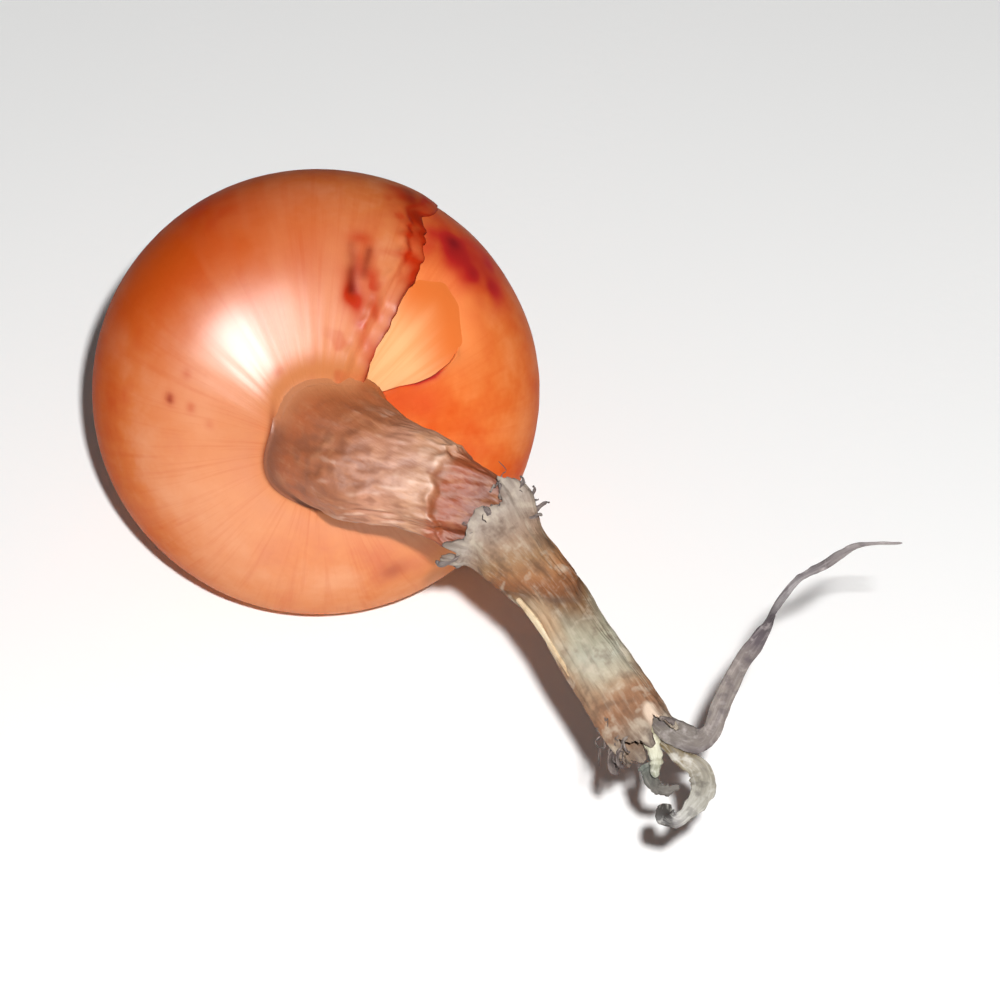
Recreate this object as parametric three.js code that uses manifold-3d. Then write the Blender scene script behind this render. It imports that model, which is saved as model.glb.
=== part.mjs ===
// A dried onion set: a small cured onion bulb lying tipped on its side, with its neck towards -Y.
//
// Units are millimetres and +Z is up. The origin is the middle of the small flat spot under the
// bulb, on the surface that the onion lies on. Each piece that can be told apart on the real thing
// is its own closed solid: the bulb, the two dry skins round it, one torn and one split, the root
// plate and its roots, the papery sleeve round the neck, the dead leaf sheath that stands out of
// it, and the inner stalk, the dried leaf and the two dried leaf ends at the sheath's end.

import * as THREE from "three";
import { mergeVertices } from "three/addons/utils/BufferGeometryUtils.js";
import Module from "manifold-3d";

const wasm = await Module();
wasm.setup();

// ---------------------------------------------------------------- driving dimensions

const BULB_RADIUS = 15.35; // half the fleshy bulb's greatest width
const CROWN_HEIGHT = 10.8; // centre to shoulder, on the neck side
const CROWN_FLARE = 2.4; // further rise of the shoulder where it turns into the neck
const CROWN_FLARE_RADIUS = 4.4;
const HEEL_HEIGHT = 11.2; // centre to the underside, on the root side
const HEEL_TAPER = 1.0; // further fall of the underside at the root plate
const HEEL_TAPER_RADIUS = 5.0;

const BULB_CENTRE = new THREE.Vector3(0, 3.3, 14.15);
const BULB_AXIS = new THREE.Vector3(0.03, -0.85, 0.53).normalize(); // points out of the neck

const SKIN_GAP = 0.08; // air between one skin and the next
const INNER_SKIN_THICKNESS = 0.24;
const OUTER_SKIN_THICKNESS = 0.32;
const NECK_HOLE_RADIUS = 3.2; // hole in both skins under the neck
const ROOT_HOLE_RADIUS = 3.4; // hole in both skins round the root plate

const GRID_ROUND = 40;
const GRID_DOWN = 20;

const ROOT_PLATE_RADIUS = 3.0;
const ROOT_PLATE_THICKNESS = 1.4;
const ROOT_COUNT = 14;
const ROOT_RADIUS = 0.25;
const ROOT_LENGTH = 9.0;

const PLATE_FACE = HEEL_HEIGHT + HEEL_TAPER + ROOT_PLATE_THICKNESS; // centre to the plate's face
const TOUCH_GAP = 0.15; // air between pieces that touch or grow into each other
const MERGE_DISTANCE = 1e-4; // points closer than this are one point

const SKINS = 2 * SKIN_GAP + INNER_SKIN_THICKNESS + OUTER_SKIN_THICKNESS; // both skins and their air
const WEDGE_REACH = 4; // depth of the wedges that tear the skins
const ACROSS_NECK = new THREE.Vector3(0.55, 0.62, 0.56).normalize(); // flat side of the dead neck

// ---------------------------------------------------------------- colours

const COLOUR = {
  bulb: 0xf0b078,
  innerSkin: 0xe0672a,
  outerSkin: 0xe8874f,
  rootPlate: 0x8a7560,
  root: 0xb0a08c,
  sleeve: 0xb07a52,
  sheath: 0xa8988a,
  wrap: 0xd8b48c,
  stalk: 0xd4d0b4,
  curl: 0x9c9488,
  leaf: 0x857a7c,
};

// ---------------------------------------------------------------- solids

const onion = new THREE.Group();

// Turns a closed buffer geometry into a manifold solid.
function toSolid(geometry) {
  const bare = geometry.clone();
  bare.deleteAttribute("normal");
  bare.deleteAttribute("uv");
  const merged = mergeVertices(bare, MERGE_DISTANCE);
  const mesh = new wasm.Mesh({
    numProp: 3,
    vertProperties: new Float32Array(merged.attributes.position.array),
    triVerts: new Uint32Array(merged.index.array),
  });
  return new wasm.Manifold(mesh);
}

// Turns a manifold solid back into a buffer geometry.
function toGeometry(solid) {
  const mesh = solid.getMesh();
  const geometry = new THREE.BufferGeometry();
  geometry.setAttribute("position", new THREE.BufferAttribute(mesh.vertProperties, 3));
  geometry.setIndex(new THREE.BufferAttribute(mesh.triVerts, 1));
  geometry.computeVertexNormals();
  return geometry;
}

// Adds a named mesh of one solid to the onion.
function addPiece(name, solid, color, roughness = 0.8) {
  const material = new THREE.MeshStandardMaterial({ color, roughness, metalness: 0 });
  const mesh = new THREE.Mesh(toGeometry(solid), material);
  mesh.name = name;
  onion.add(mesh);
}

// ---------------------------------------------------------------- the bulb's own frame

// Directions across the bulb's axis: bulbSide points to +X, and bulbUp points up and away from it.
const bulbSide = new THREE.Vector3(1, 0, 0).addScaledVector(BULB_AXIS, -BULB_AXIS.x).normalize();
const bulbUp = new THREE.Vector3().crossVectors(BULB_AXIS, bulbSide);

// A point given in the bulb's frame, as distances to the side, up and along the axis.
function fromBulb(side, up, along) {
  return BULB_CENTRE.clone()
    .addScaledVector(bulbSide, side)
    .addScaledVector(bulbUp, up)
    .addScaledVector(BULB_AXIS, along);
}

// The bulb's outline as radius and height at a polar angle counted from the neck.
function bulbProfile(polar) {
  const radius = BULB_RADIUS * Math.sin(polar);
  const fall = Math.cos(polar);
  const crown = fall * CROWN_HEIGHT + CROWN_FLARE * Math.exp(-((radius / CROWN_FLARE_RADIUS) ** 2));
  const heel = fall * HEEL_HEIGHT - HEEL_TAPER * Math.exp(-((radius / HEEL_TAPER_RADIUS) ** 2));
  return new THREE.Vector2(radius, fall >= 0 ? crown : heel);
}

// A point at a distance outside the bulb's surface. azimuth turns from bulbSide towards bulbUp.
function bulbPoint(polar, azimuth, outside) {
  const step = 1e-4;
  const here = bulbProfile(polar);
  const slope = bulbProfile(polar + step).sub(bulbProfile(Math.max(polar - step, 0))).normalize();
  const radius = Math.max(here.x - outside * slope.y, 0);
  return fromBulb(
    radius * Math.cos(azimuth),
    radius * Math.sin(azimuth),
    here.y + outside * slope.x,
  );
}

// How high a surface at a distance outside the bulb lies over the flat spot.
function floorUnder(outside) {
  return SKINS - outside;
}

// A closed surface at a distance outside the bulb, cut flat at the height called lowest.
function bulbSurface(outside, lowest) {
  const sphere = new THREE.SphereGeometry(1, GRID_ROUND, GRID_DOWN);
  const position = sphere.attributes.position;
  for (let i = 0; i < position.count; i += 1) {
    const polar = Math.acos(THREE.MathUtils.clamp(position.getY(i), -1, 1));
    const azimuth = Math.atan2(-position.getZ(i), position.getX(i));
    const atPole = Math.sin(polar) < 1e-6;
    const point = bulbPoint(polar, atPole ? 0 : azimuth, outside);
    position.setXYZ(i, point.x, point.y, point.z);
  }
  const ground = new THREE.BoxGeometry(4 * BULB_RADIUS, 4 * BULB_RADIUS, BULB_RADIUS);
  ground.translate(0, 0, lowest - BULB_RADIUS / 2);
  return toSolid(sphere).subtract(toSolid(ground));
}

// A dry skin: the space between two surfaces round the bulb.
function bulbShell(inside, thickness) {
  const outer = bulbSurface(inside + thickness, floorUnder(inside + thickness));
  return outer.subtract(bulbSurface(inside, floorUnder(inside)));
}

// A wedge of the space round the bulb between two meridian edges, each a function of a 0 to 1
// parameter that runs down the bulb from one polar angle to another.
function bulbWedge(fromPolar, toPolar, rightEdge, leftEdge) {
  const wedge = new THREE.BoxGeometry(1, 1, 1, 6, 16, 1);
  const position = wedge.attributes.position;
  for (let i = 0; i < position.count; i += 1) {
    const down = 0.5 - position.getY(i);
    const azimuth = THREE.MathUtils.lerp(rightEdge(down), leftEdge(down), position.getX(i) + 0.5);
    const polar = THREE.MathUtils.lerp(fromPolar, toPolar, down);
    const point = bulbPoint(polar, azimuth, position.getZ(i) * WEDGE_REACH);
    position.setXYZ(i, point.x, point.y, point.z);
  }
  return toSolid(wedge);
}

// ---------------------------------------------------------------- flattened tubes

// A smooth curve through [x, y, z] points.
function curveThrough(points) {
  return new THREE.CatmullRomCurve3(points.map((p) => new THREE.Vector3(...p)));
}

// Reads evenly spaced values at a place from 0 to 1.
function read(values, t) {
  const place = THREE.MathUtils.clamp(t, 0, 1) * (values.length - 1);
  const cell = Math.min(Math.floor(place), values.length - 2);
  return THREE.MathUtils.lerp(values[cell], values[cell + 1], place - cell);
}

// A point of a flattened tube at a place t on its curve, at an angle round it and a share of its
// radius. widths and depths are half sizes along the curve, wide is the direction of the width,
// and twist turns the section along the curve.
function tubePoint(curve, shape, t, angle, radius) {
  const { widths, depths, wide = ACROSS_NECK, twist = [0, 0], ripple = () => 1 } = shape;
  const tangent = curve.getTangent(t);
  const side = wide.clone().addScaledVector(tangent, -wide.dot(tangent)).normalize();
  side.applyAxisAngle(tangent, read(twist, t));
  const normal = new THREE.Vector3().crossVectors(tangent, side);
  const swell = radius * ripple(t, angle);
  return curve.getPoint(t)
    .addScaledVector(side, swell * Math.cos(angle) * read(widths, t))
    .addScaledVector(normal, swell * Math.sin(angle) * read(depths, t));
}

// A closed flattened tube. start and end give the places on the curve where it begins and ends at
// each angle round it, so that a torn end can be ragged. No point of it lies below the floor.
function flatTube(curve, shape) {
  const { round = 12, steps = 12, start = () => 0, end = () => 1 } = shape;
  const tube = new THREE.CylinderGeometry(1, 1, 1, round, steps);
  const position = tube.attributes.position;
  for (let i = 0; i < position.count; i += 1) {
    const angle = Math.atan2(position.getZ(i), position.getX(i));
    const radius = Math.hypot(position.getX(i), position.getZ(i));
    const ragged = radius > 0.5 ? angle : 0;
    const t = THREE.MathUtils.lerp(start(ragged), end(ragged), 0.5 - position.getY(i));
    const point = tubePoint(curve, shape, t, angle, radius);
    position.setXYZ(i, point.x, point.y, Math.max(point.z, 0));
  }
  return toSolid(tube);
}

// A tapering dried strand through [x, y, z] points, with its half width and half depth at the root.
const STRAND_TAPER = [1, 0.85, 0.6, 0.35];
const STRAND_THINNING = [1, 1, 0.8, 0.6];
function strand(points, width, depth, shape = {}) {
  return flatTube(curveThrough(points), {
    widths: STRAND_TAPER.map((share) => share * width),
    depths: STRAND_THINNING.map((share) => share * depth),
    round: 6,
    steps: 8,
    ...shape,
  });
}

// ---------------------------------------------------------------- bulb and skins

const radians = THREE.MathUtils.degToRad;

const INNER_SKIN_INSIDE = SKIN_GAP;
const OUTER_SKIN_INSIDE = 2 * SKIN_GAP + INNER_SKIN_THICKNESS;

addPiece("bulb", bulbSurface(0, floorUnder(0)), COLOUR.bulb, 0.35);

// The outer skin is torn away on the right, from the neck most of the way to the roots. The tear
// follows the veins, which run like meridians, and closes to a point on the underside.
const TEAR_FROM = radians(4);
const TEAR_TO = radians(138);
const tearLeft = (down) => radians(read([38, 54, 57, 56, 60, 58, 57, 50, 34], down));
const tearRight = (down) => radians(read([-34, -31, -34, -33, -30, -34, -22, -4, 30], down));
const tear = bulbWedge(TEAR_FROM, TEAR_TO, tearRight, tearLeft);

// The inner skin shows in the tear, and reaches a little way under both its edges.
const TUCK = radians(9);
const PATCH_FROM = radians(10);
const PATCH_TO = radians(146);
const patch = bulbWedge(
  PATCH_FROM,
  PATCH_TO,
  (down) => tearRight(down) - TUCK,
  (down) => tearLeft(down) + TUCK,
);

// A split in the inner skin, beside the torn edge, shows the pale bulb.
const SPLIT_FROM = radians(17);
const SPLIT_TO = radians(54);
const split = bulbWedge(
  SPLIT_FROM,
  SPLIT_TO,
  (down) => radians(read([35, 27, 24.5, 26, 29, 40], down)),
  (down) => radians(read([44, 51, 55, 56, 56, 52], down)),
);

// A round rod on the bulb's axis, for the holes in the skins.
function axisRod(fromHeight, toHeight, radius) {
  const line = new THREE.LineCurve3(fromBulb(0, 0, fromHeight), fromBulb(0, 0, toHeight));
  return flatTube(line, {
    widths: [radius, radius],
    depths: [radius, radius],
    wide: bulbSide,
    round: 20,
    steps: 1,
  });
}

const neckHole = axisRod(0.5 * CROWN_HEIGHT, 1.8 * CROWN_HEIGHT, NECK_HOLE_RADIUS);
const rootHole = axisRod(-1.6 * HEEL_HEIGHT, -0.5 * HEEL_HEIGHT, ROOT_HOLE_RADIUS);

const innerSkin = bulbShell(INNER_SKIN_INSIDE, INNER_SKIN_THICKNESS)
  .intersect(patch)
  .subtract(split)
  .subtract(neckHole)
  .subtract(rootHole);
addPiece("inner_skin", innerSkin, COLOUR.innerSkin, 0.35);

const outerSkin = bulbShell(OUTER_SKIN_INSIDE, OUTER_SKIN_THICKNESS)
  .subtract(tear)
  .subtract(neckHole)
  .subtract(rootHole);
addPiece("outer_skin", outerSkin, COLOUR.outerSkin, 0.35);

// ---------------------------------------------------------------- neck

// The neck leaves the bulb along its axis, turns to +X and stands out level in the air, because
// the dead leaves in it have dried stiff.
const neckLine = curveThrough([
  fromBulb(0.7, 0, 8).toArray(),
  fromBulb(1.5, 0.1, 12.2).toArray(),
  [4.0, -11.2, 22.9],
  [6.6, -13.8, 23.7],
  [9.6, -15.6, 23.6],
  [12.3, -17.2, 23.1],
  [14.1, -20.0, 22.9],
  [16.2, -22.8, 22.6],
  [18.6, -27.3, 22.2],
  [20.8, -31.3, 21.5],
  [22.9, -34.7, 20.8],
]);

// A stretch of the neck's line, between two places on it.
function neckStretch(from, to) {
  const points = Array.from({ length: 9 }, (_, i) => {
    return neckLine.getPoint(THREE.MathUtils.lerp(from, to, i / 8)).toArray();
  });
  return curveThrough(points);
}

const SLEEVE_END = 0.56; // place on the neck's line where the sleeve ends, inside the sheath
const COLLAR = 0.44; // place where the sheath's torn collar begins

// The papery sleeve: a flattened cone whose skirt sits on the bulb's shoulder. It is drawn in on
// its upper right at the skirt, and on its lower left past the middle.
const DRAWN_IN_SKIRT = 0.26;
const DRAWN_IN_END = 0.22;
const { smoothstep } = THREE.MathUtils;
function sleeveRipple(t, angle) {
  const skirt = smoothstep(Math.cos(angle), -0.1, 1) * (1 - smoothstep(t, 0.15, 0.7));
  const end = smoothstep(-Math.cos(angle), -0.1, 0.9) * smoothstep(t, 0.35, 0.65);
  const drawn = DRAWN_IN_SKIRT * skirt + DRAWN_IN_END * end;
  return 1 + 0.03 * Math.sin(5 * angle + 6 * t) - drawn;
}
function sleeveSolid(swell) {
  return flatTube(neckStretch(0, SLEEVE_END), {
    widths: [5.2, 5.3, 4.7, 4.2, 3.9, 3.5, 3.1, 2.7].map((w) => w + swell),
    depths: [4.6, 4.5, 3.4, 2.4, 1.9, 1.6, 1.3, 1.1].map((d) => d + swell),
    round: 20,
    steps: 14,
    ripple: sleeveRipple,
  });
}

const shoulder = bulbSurface(SKINS + TOUCH_GAP, 0);
addPiece("neck_sleeve", sleeveSolid(0).subtract(shoulder), COLOUR.sleeve);

// The one dried leaf left: a narrow strip that turns back round the sheath's end, rises, twists
// half a turn where it is pinched, and bends over at its tip. Its widths are its thickness and its
// depths its breadth, because its flat side faces up and forwards.
const LEAF_FACE = new THREE.Vector3(0, -0.67, 0.74);
const leafLine = curveThrough([
  [22.7, -32.6, 21.5], [24.4, -33.8, 21.2], [25.7, -34.4, 21.3], [26.5, -34.2, 22.0],
  [27.2, -33.4, 24.0], [28.4, -32.7, 27.2], [29.8, -32.2, 30.0], [30.4, -31.9, 31.6],
  [31.8, -31.1, 33.4], [33.3, -30.6, 34.2], [35.6, -29.5, 34.8], [38.4, -29.4, 35.0],
]);
const LEAF_THICKNESSES = [0.16, 0.16, 0.16, 0.16, 0.16, 0.16, 0.18, 0.22, 0.17, 0.15, 0.12, 0.1];
const LEAF_BREADTHS = [0.45, 0.8, 0.8, 0.66, 0.64, 0.6, 0.46, 0.2, 0.19, 0.33, 0.18, 0.12];
function leafSolid(swell) {
  return flatTube(leafLine, {
    widths: LEAF_THICKNESSES.map((w) => w + swell),
    depths: LEAF_BREADTHS.map((d) => d + swell),
    wide: LEAF_FACE,
    twist: [0, 0, 0, 0, 0.1, 0.25, 0.7, 1.6, 2.6, 3.1, 3.1, 3.1],
    round: 8,
    steps: 39,
  });
}

// The dead leaf sheath: a flattened tube round the sleeve's end, open at its broken far end.
const sheathLine = neckStretch(COLLAR, 1);
const sheathShape = {
  widths: [3.7, 3.1, 2.4, 2.0, 2.1, 2.3, 2.4, 2.4],
  depths: [2.0, 1.7, 1.35, 1.15, 1.1, 1.05, 1.05, 1.0],
  round: 18,
  steps: 13,
  start: (angle) => 0.07 + 0.04 * Math.cos(angle) + 0.025 * Math.sin(7 * angle),
  end: (angle) => 0.97 + 0.029 * Math.sin(5 * angle),
  ripple: (t, angle) => 1 + 0.05 * Math.sin(4 * angle + 5 * t),
};
const mouthLine = curveThrough([[21.2, -31.9, 21.4], [22.9, -34.7, 20.8], [25.0, -38.4, 20.0]]);
const sheathMouth = flatTube(mouthLine, {
  widths: [1.3, 1.95, 2.2],
  depths: [0.4, 0.65, 0.75],
  steps: 4,
});

// Shreds torn from the sheath and still held by it. Each leaves its surface at a place and an
// angle, and bends outwards and along it.
const SHREDS = [
  { t: 0.13, angle: 25, length: 2.3, back: 0.5 },
  { t: 0.17, angle: -15, length: 1.9, back: -0.1 },
  { t: 0.22, angle: 20, length: 1.5, back: -0.4 },
  { t: 0.07, angle: 165, length: 1.8, back: 1.0 },
  { t: 0.1, angle: 200, length: 1.3, back: 0.6 },
  { t: 0.9, angle: 200, length: 1.5, back: -2.4 },
  { t: 0.92, angle: 172, length: 1.7, back: -2.6 },
  { t: 0.94, angle: 140, length: 1.4, back: -2.8 },
];
function shred({ t, angle, length, back }) {
  const turn = radians(angle);
  const root = tubePoint(sheathLine, sheathShape, t, turn, 0.8);
  const out = tubePoint(sheathLine, sheathShape, t, turn, 1).sub(root).normalize();
  const away = sheathLine.getTangent(t).multiplyScalar(-back).add(out).normalize();
  const bend = root.clone().addScaledVector(out, 0.35 * length).addScaledVector(away, 0.2 * length);
  const tip = bend.clone().addScaledVector(away, 0.7 * length);
  return strand([root.toArray(), bend.toArray(), tip.toArray()], 0.5, 0.16, { steps: 4 });
}
const sheath = SHREDS.map(shred)
  .reduce((whole, piece) => whole.add(piece), flatTube(sheathLine, sheathShape))
  .subtract(sleeveSolid(TOUCH_GAP))
  .subtract(leafSolid(TOUCH_GAP))
  .subtract(sheathMouth);
addPiece("leaf_sheath", sheath, COLOUR.sheath);

// A stiff edge of the outermost leaf that lies along the sheath.
const WRAP_PLACES = [0.41, 0.5, 0.59, 0.69];
const WRAP_ANGLE = radians(159);
const WRAP_RADIUS = 2.0;
const wrapLine = curveThrough(WRAP_PLACES.map((t) => {
  const rod = { widths: [1, 1], depths: [1, 1] };
  return tubePoint(sheathLine, rod, t, WRAP_ANGLE, WRAP_RADIUS).toArray();
}));
const wrap = flatTube(wrapLine, {
  widths: [0.3, 0.5, 0.45, 0.2],
  depths: [0.12, 0.12, 0.12, 0.1],
  twist: [0.6, 0.6],
  round: 8,
  steps: 6,
});
addPiece("sheath_edge", wrap.subtract(flatTube(sheathLine, {
  ...sheathShape,
  widths: sheathShape.widths.map((w) => w + TOUCH_GAP),
  depths: sheathShape.depths.map((d) => d + TOUCH_GAP),
})), COLOUR.wrap);

// ---------------------------------------------------------------- what stands out of the sheath

// The pale inner stalk.
const stalk = strand(
  [[22.0, -32.7, 21.2], [22.7, -34.2, 20.9], [23.0, -35.6, 20.6], [22.9, -36.7, 20.4]],
  0.5,
  0.16,
);
addPiece("inner_stalk", stalk, COLOUR.stalk);

// Two dried leaf ends, one curled into a loop.
const hook = strand(
  [[23.4, -33.4, 20.5], [24.6, -34.7, 20.1], [25.8, -35.6, 19.8], [26.0, -36.9, 19.6],
    [25.3, -38.3, 19.3], [24.3, -39.1, 18.9], [23.6, -38.6, 18.7], [23.6, -37.4, 18.5]],
  0.45,
  0.14,
  { steps: 20 },
);
addPiece("curled_end", hook, COLOUR.curl);
const stub = strand(
  [[22.2, -34.9, 19.5], [22.5, -35.5, 19.4], [23.0, -36.6, 19.2], [23.7, -36.8, 19.2],
    [24.5, -36.6, 19.3]],
  0.35,
  0.16,
);
addPiece("short_end", stub, COLOUR.curl);
addPiece("dried_leaf", leafSolid(0), COLOUR.leaf);

// ---------------------------------------------------------------- root end

const rootPlate = flatTube(
  new THREE.LineCurve3(fromBulb(0, 0, -HEEL_HEIGHT), fromBulb(0, 0, -PLATE_FACE)),
  {
    widths: [ROOT_PLATE_RADIUS, ROOT_PLATE_RADIUS, ROOT_PLATE_RADIUS * 0.8],
    depths: [ROOT_PLATE_RADIUS, ROOT_PLATE_RADIUS, ROOT_PLATE_RADIUS * 0.8],
    wide: bulbSide,
    round: 18,
    steps: 3,
    ripple: (t, angle) => 1 + 0.05 * Math.sin(5 * angle),
  },
).subtract(bulbSurface(TOUCH_GAP, floorUnder(TOUCH_GAP)));
addPiece("root_plate", rootPlate, COLOUR.rootPlate);

// The dried roots spread from the plate in a spiral, longer at its edge, and droop until they
// meet the floor.
const GOLDEN_ANGLE = Math.PI * (3 - Math.sqrt(5));
const ROOT_DROOP = 0.32;
const ROOT_SPREADS = [0.3, 0.6, 0.85, 0.9]; // how far each quarter of a root leans outwards
for (let i = 0; i < ROOT_COUNT; i += 1) {
  const share = Math.sqrt((i + 0.5) / ROOT_COUNT);
  const azimuth = i * GOLDEN_ANGLE;
  const reach = share * ROOT_PLATE_RADIUS * 0.7;
  const start = fromBulb(
    reach * Math.cos(azimuth),
    reach * Math.sin(azimuth),
    -PLATE_FACE - TOUCH_GAP,
  );
  const out = fromBulb(Math.cos(azimuth), Math.sin(azimuth), 0).sub(BULB_CENTRE);
  const length = ROOT_LENGTH * (0.8 + 0.25 * Math.sin(3 * i + 1));
  const points = [start.toArray()];
  for (const spread of ROOT_SPREADS) {
    const last = new THREE.Vector3(...points[points.length - 1]);
    const heading = BULB_AXIS.clone().negate().addScaledVector(out, spread * share * 1.1);
    heading.z -= ROOT_DROOP * points.length;
    last.addScaledVector(heading.normalize(), length / ROOT_SPREADS.length);
    last.z = Math.max(last.z, ROOT_RADIUS * 0.5);
    points.push(last.toArray());
  }
  const root = strand(points, ROOT_RADIUS, ROOT_RADIUS, { wide: bulbSide, steps: 7 });
  addPiece(`root_${String(i + 1).padStart(2, "0")}`, root, COLOUR.root);
}

export default onion;
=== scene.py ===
"""A dried onion set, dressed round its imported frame.

The frame gives the solid of every piece. Each one is replaced here by a finer surface of the same
form: two dry skins round a small bulb, one torn and one split, a papery sleeve round its neck, the
dead leaf sheath with its torn ends and one dried leaf, and the root plate with its dry roots.
Forms are worked out in millimetres and become metres when a mesh is made.
"""

from __future__ import annotations

import logging
import math
from dataclasses import dataclass, field
from enum import Enum

import bmesh
import bpy
import numpy as np
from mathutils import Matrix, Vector


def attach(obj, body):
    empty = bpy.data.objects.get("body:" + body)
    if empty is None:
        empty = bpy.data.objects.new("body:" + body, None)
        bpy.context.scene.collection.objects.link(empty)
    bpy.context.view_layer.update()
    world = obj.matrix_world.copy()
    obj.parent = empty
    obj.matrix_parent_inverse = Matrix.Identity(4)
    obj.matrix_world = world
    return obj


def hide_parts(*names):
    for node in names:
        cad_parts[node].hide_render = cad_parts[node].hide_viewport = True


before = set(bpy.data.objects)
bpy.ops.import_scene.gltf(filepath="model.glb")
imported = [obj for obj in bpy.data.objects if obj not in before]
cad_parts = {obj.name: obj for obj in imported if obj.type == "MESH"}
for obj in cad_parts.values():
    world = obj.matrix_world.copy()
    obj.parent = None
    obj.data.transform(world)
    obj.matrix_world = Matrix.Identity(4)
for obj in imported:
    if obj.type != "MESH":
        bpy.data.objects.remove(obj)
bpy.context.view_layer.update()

log = logging.getLogger("onion")

MM = 0.001
TURN = 2 * math.pi
ROOT_BODY = "root"

TINY = 1e-4

Array = np.ndarray
Numbers = tuple[float, ...]
Path = tuple[tuple[float, ...], ...]
Stops = tuple[tuple[float, str], ...]
Socket = bpy.types.NodeSocket


# ------------------------------------------------------------------------------ numbers


def unit(vector: Array) -> Array:
    """Returns vectors scaled to length one along their last axis."""
    return vector / np.maximum(np.linalg.norm(vector, axis=-1, keepdims=True), 1e-12)


def ease(low: float, high: float, value: Array) -> Array:
    """Smooth step: 0 at low, 1 at high, 3s^2 - 2s^3 between them. High may lie below low."""
    share = np.clip((np.asarray(value, dtype=float) - low) / (high - low), 0.0, 1.0)
    return share * share * (3.0 - 2.0 * share)


def bell(distance: Array, width: float) -> Array:
    """A bell: exp(-(distance / width)^2)."""
    return np.exp(-((distance / width) ** 2))


def nearness(angle: Array, degrees: float) -> Array:
    """1 where an angle in radians is a number of degrees, and -1 on the far side."""
    return np.cos(angle - np.radians(degrees))


def cubic(s: Array, start: Array, start_slope: Array, end: Array, end_slope: Array) -> Array:
    """The cubic between two values with given slopes, a share s of the way."""
    return (
        start * (2 * s**3 - 3 * s**2 + 1)
        + start_slope * (s**3 - 2 * s**2 + s)
        + end * (3 * s**2 - 2 * s**3)
        + end_slope * (s**3 - s**2)
    )


def read(values: Numbers, place: Array) -> Array:
    """Reads evenly spaced values at places from 0 to 1 along a smooth curve through them.

    The slope at each value is half the difference of the values on either side.
    """
    known = np.asarray(values, dtype=float)
    slope = np.gradient(known)
    along = np.clip(place, 0.0, 1.0) * (len(known) - 1)
    cell = np.minimum(along.astype(int), len(known) - 2)
    return cubic(along - cell, known[cell], slope[cell], known[cell + 1], slope[cell + 1])


def round_turn(count: int) -> Array:
    """Evenly spaced angles round one turn, in radians."""
    return np.linspace(0.0, TURN, count, endpoint=False)


def crossed(rows: Array, columns: Array) -> tuple[Array, Array]:
    """The row value and the column value of each cell, both rows by columns."""
    return tuple(np.meshgrid(rows, columns, indexing="ij"))


@dataclass
class Noise:
    """Smooth value noise on a seeded lattice that repeats after its number of cells.

    Attributes:
        seed: picks the lattice, so that each use differs and each run is the same.
        cells: lattice points along each side.
    """

    seed: int
    cells: int = 32
    lattice: Array = field(init=False)

    def __post_init__(self) -> None:
        """Draws the lattice."""
        rng = np.random.default_rng(self.seed)
        self.lattice = rng.uniform(-1.0, 1.0, (self.cells, self.cells, self.cells))

    def at(self, points: Array, size: float = 1.0) -> Array:
        """One number from -1 to 1 for each point, in cells of a size in the points' units.

        The eight lattice values round a point are blended with eased weights.
        """
        scaled = np.asarray(points, dtype=float) / size
        base = np.floor(scaled).astype(int)
        share = scaled - base
        share = share * share * (3.0 - 2.0 * share)
        total = np.zeros(scaled.shape[:-1])
        for corner in np.ndindex(2, 2, 2):
            index = (base + corner) % self.cells
            weight = np.prod(np.where(corner, share, 1.0 - share), axis=-1)
            total += weight * self.lattice[index[..., 0], index[..., 1], index[..., 2]]
        return total

    def round(self, angle: Array, along: Array, count: float, stretch: float) -> Array:
        """Noise that closes round a ring, because it reads a cylinder.

        There are count cells in one turn, and stretch cells in each unit along the axis.
        """
        reach = count / TURN
        angle, along = np.broadcast_arrays(angle, along)
        ring = [reach * np.cos(angle), reach * np.sin(angle), stretch * along]
        return self.at(np.stack(ring, axis=-1) + 100.0)

    def folds(self, angle: Array, along: Array, *layers: Numbers) -> Array:
        """A sum of noise round a ring, of layers given as height, slant, count and stretch."""
        return sum(
            height * self.round(angle + slant * along, along, count, stretch)
            for height, slant, count, stretch in layers
        )

    def lumps(self, points: Array, *layers: Numbers) -> Array:
        """A sum of noise in space, of layers given as height, shift and size of a cell."""
        return sum(height * self.at(points + shift, size) for height, shift, size in layers)


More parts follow.
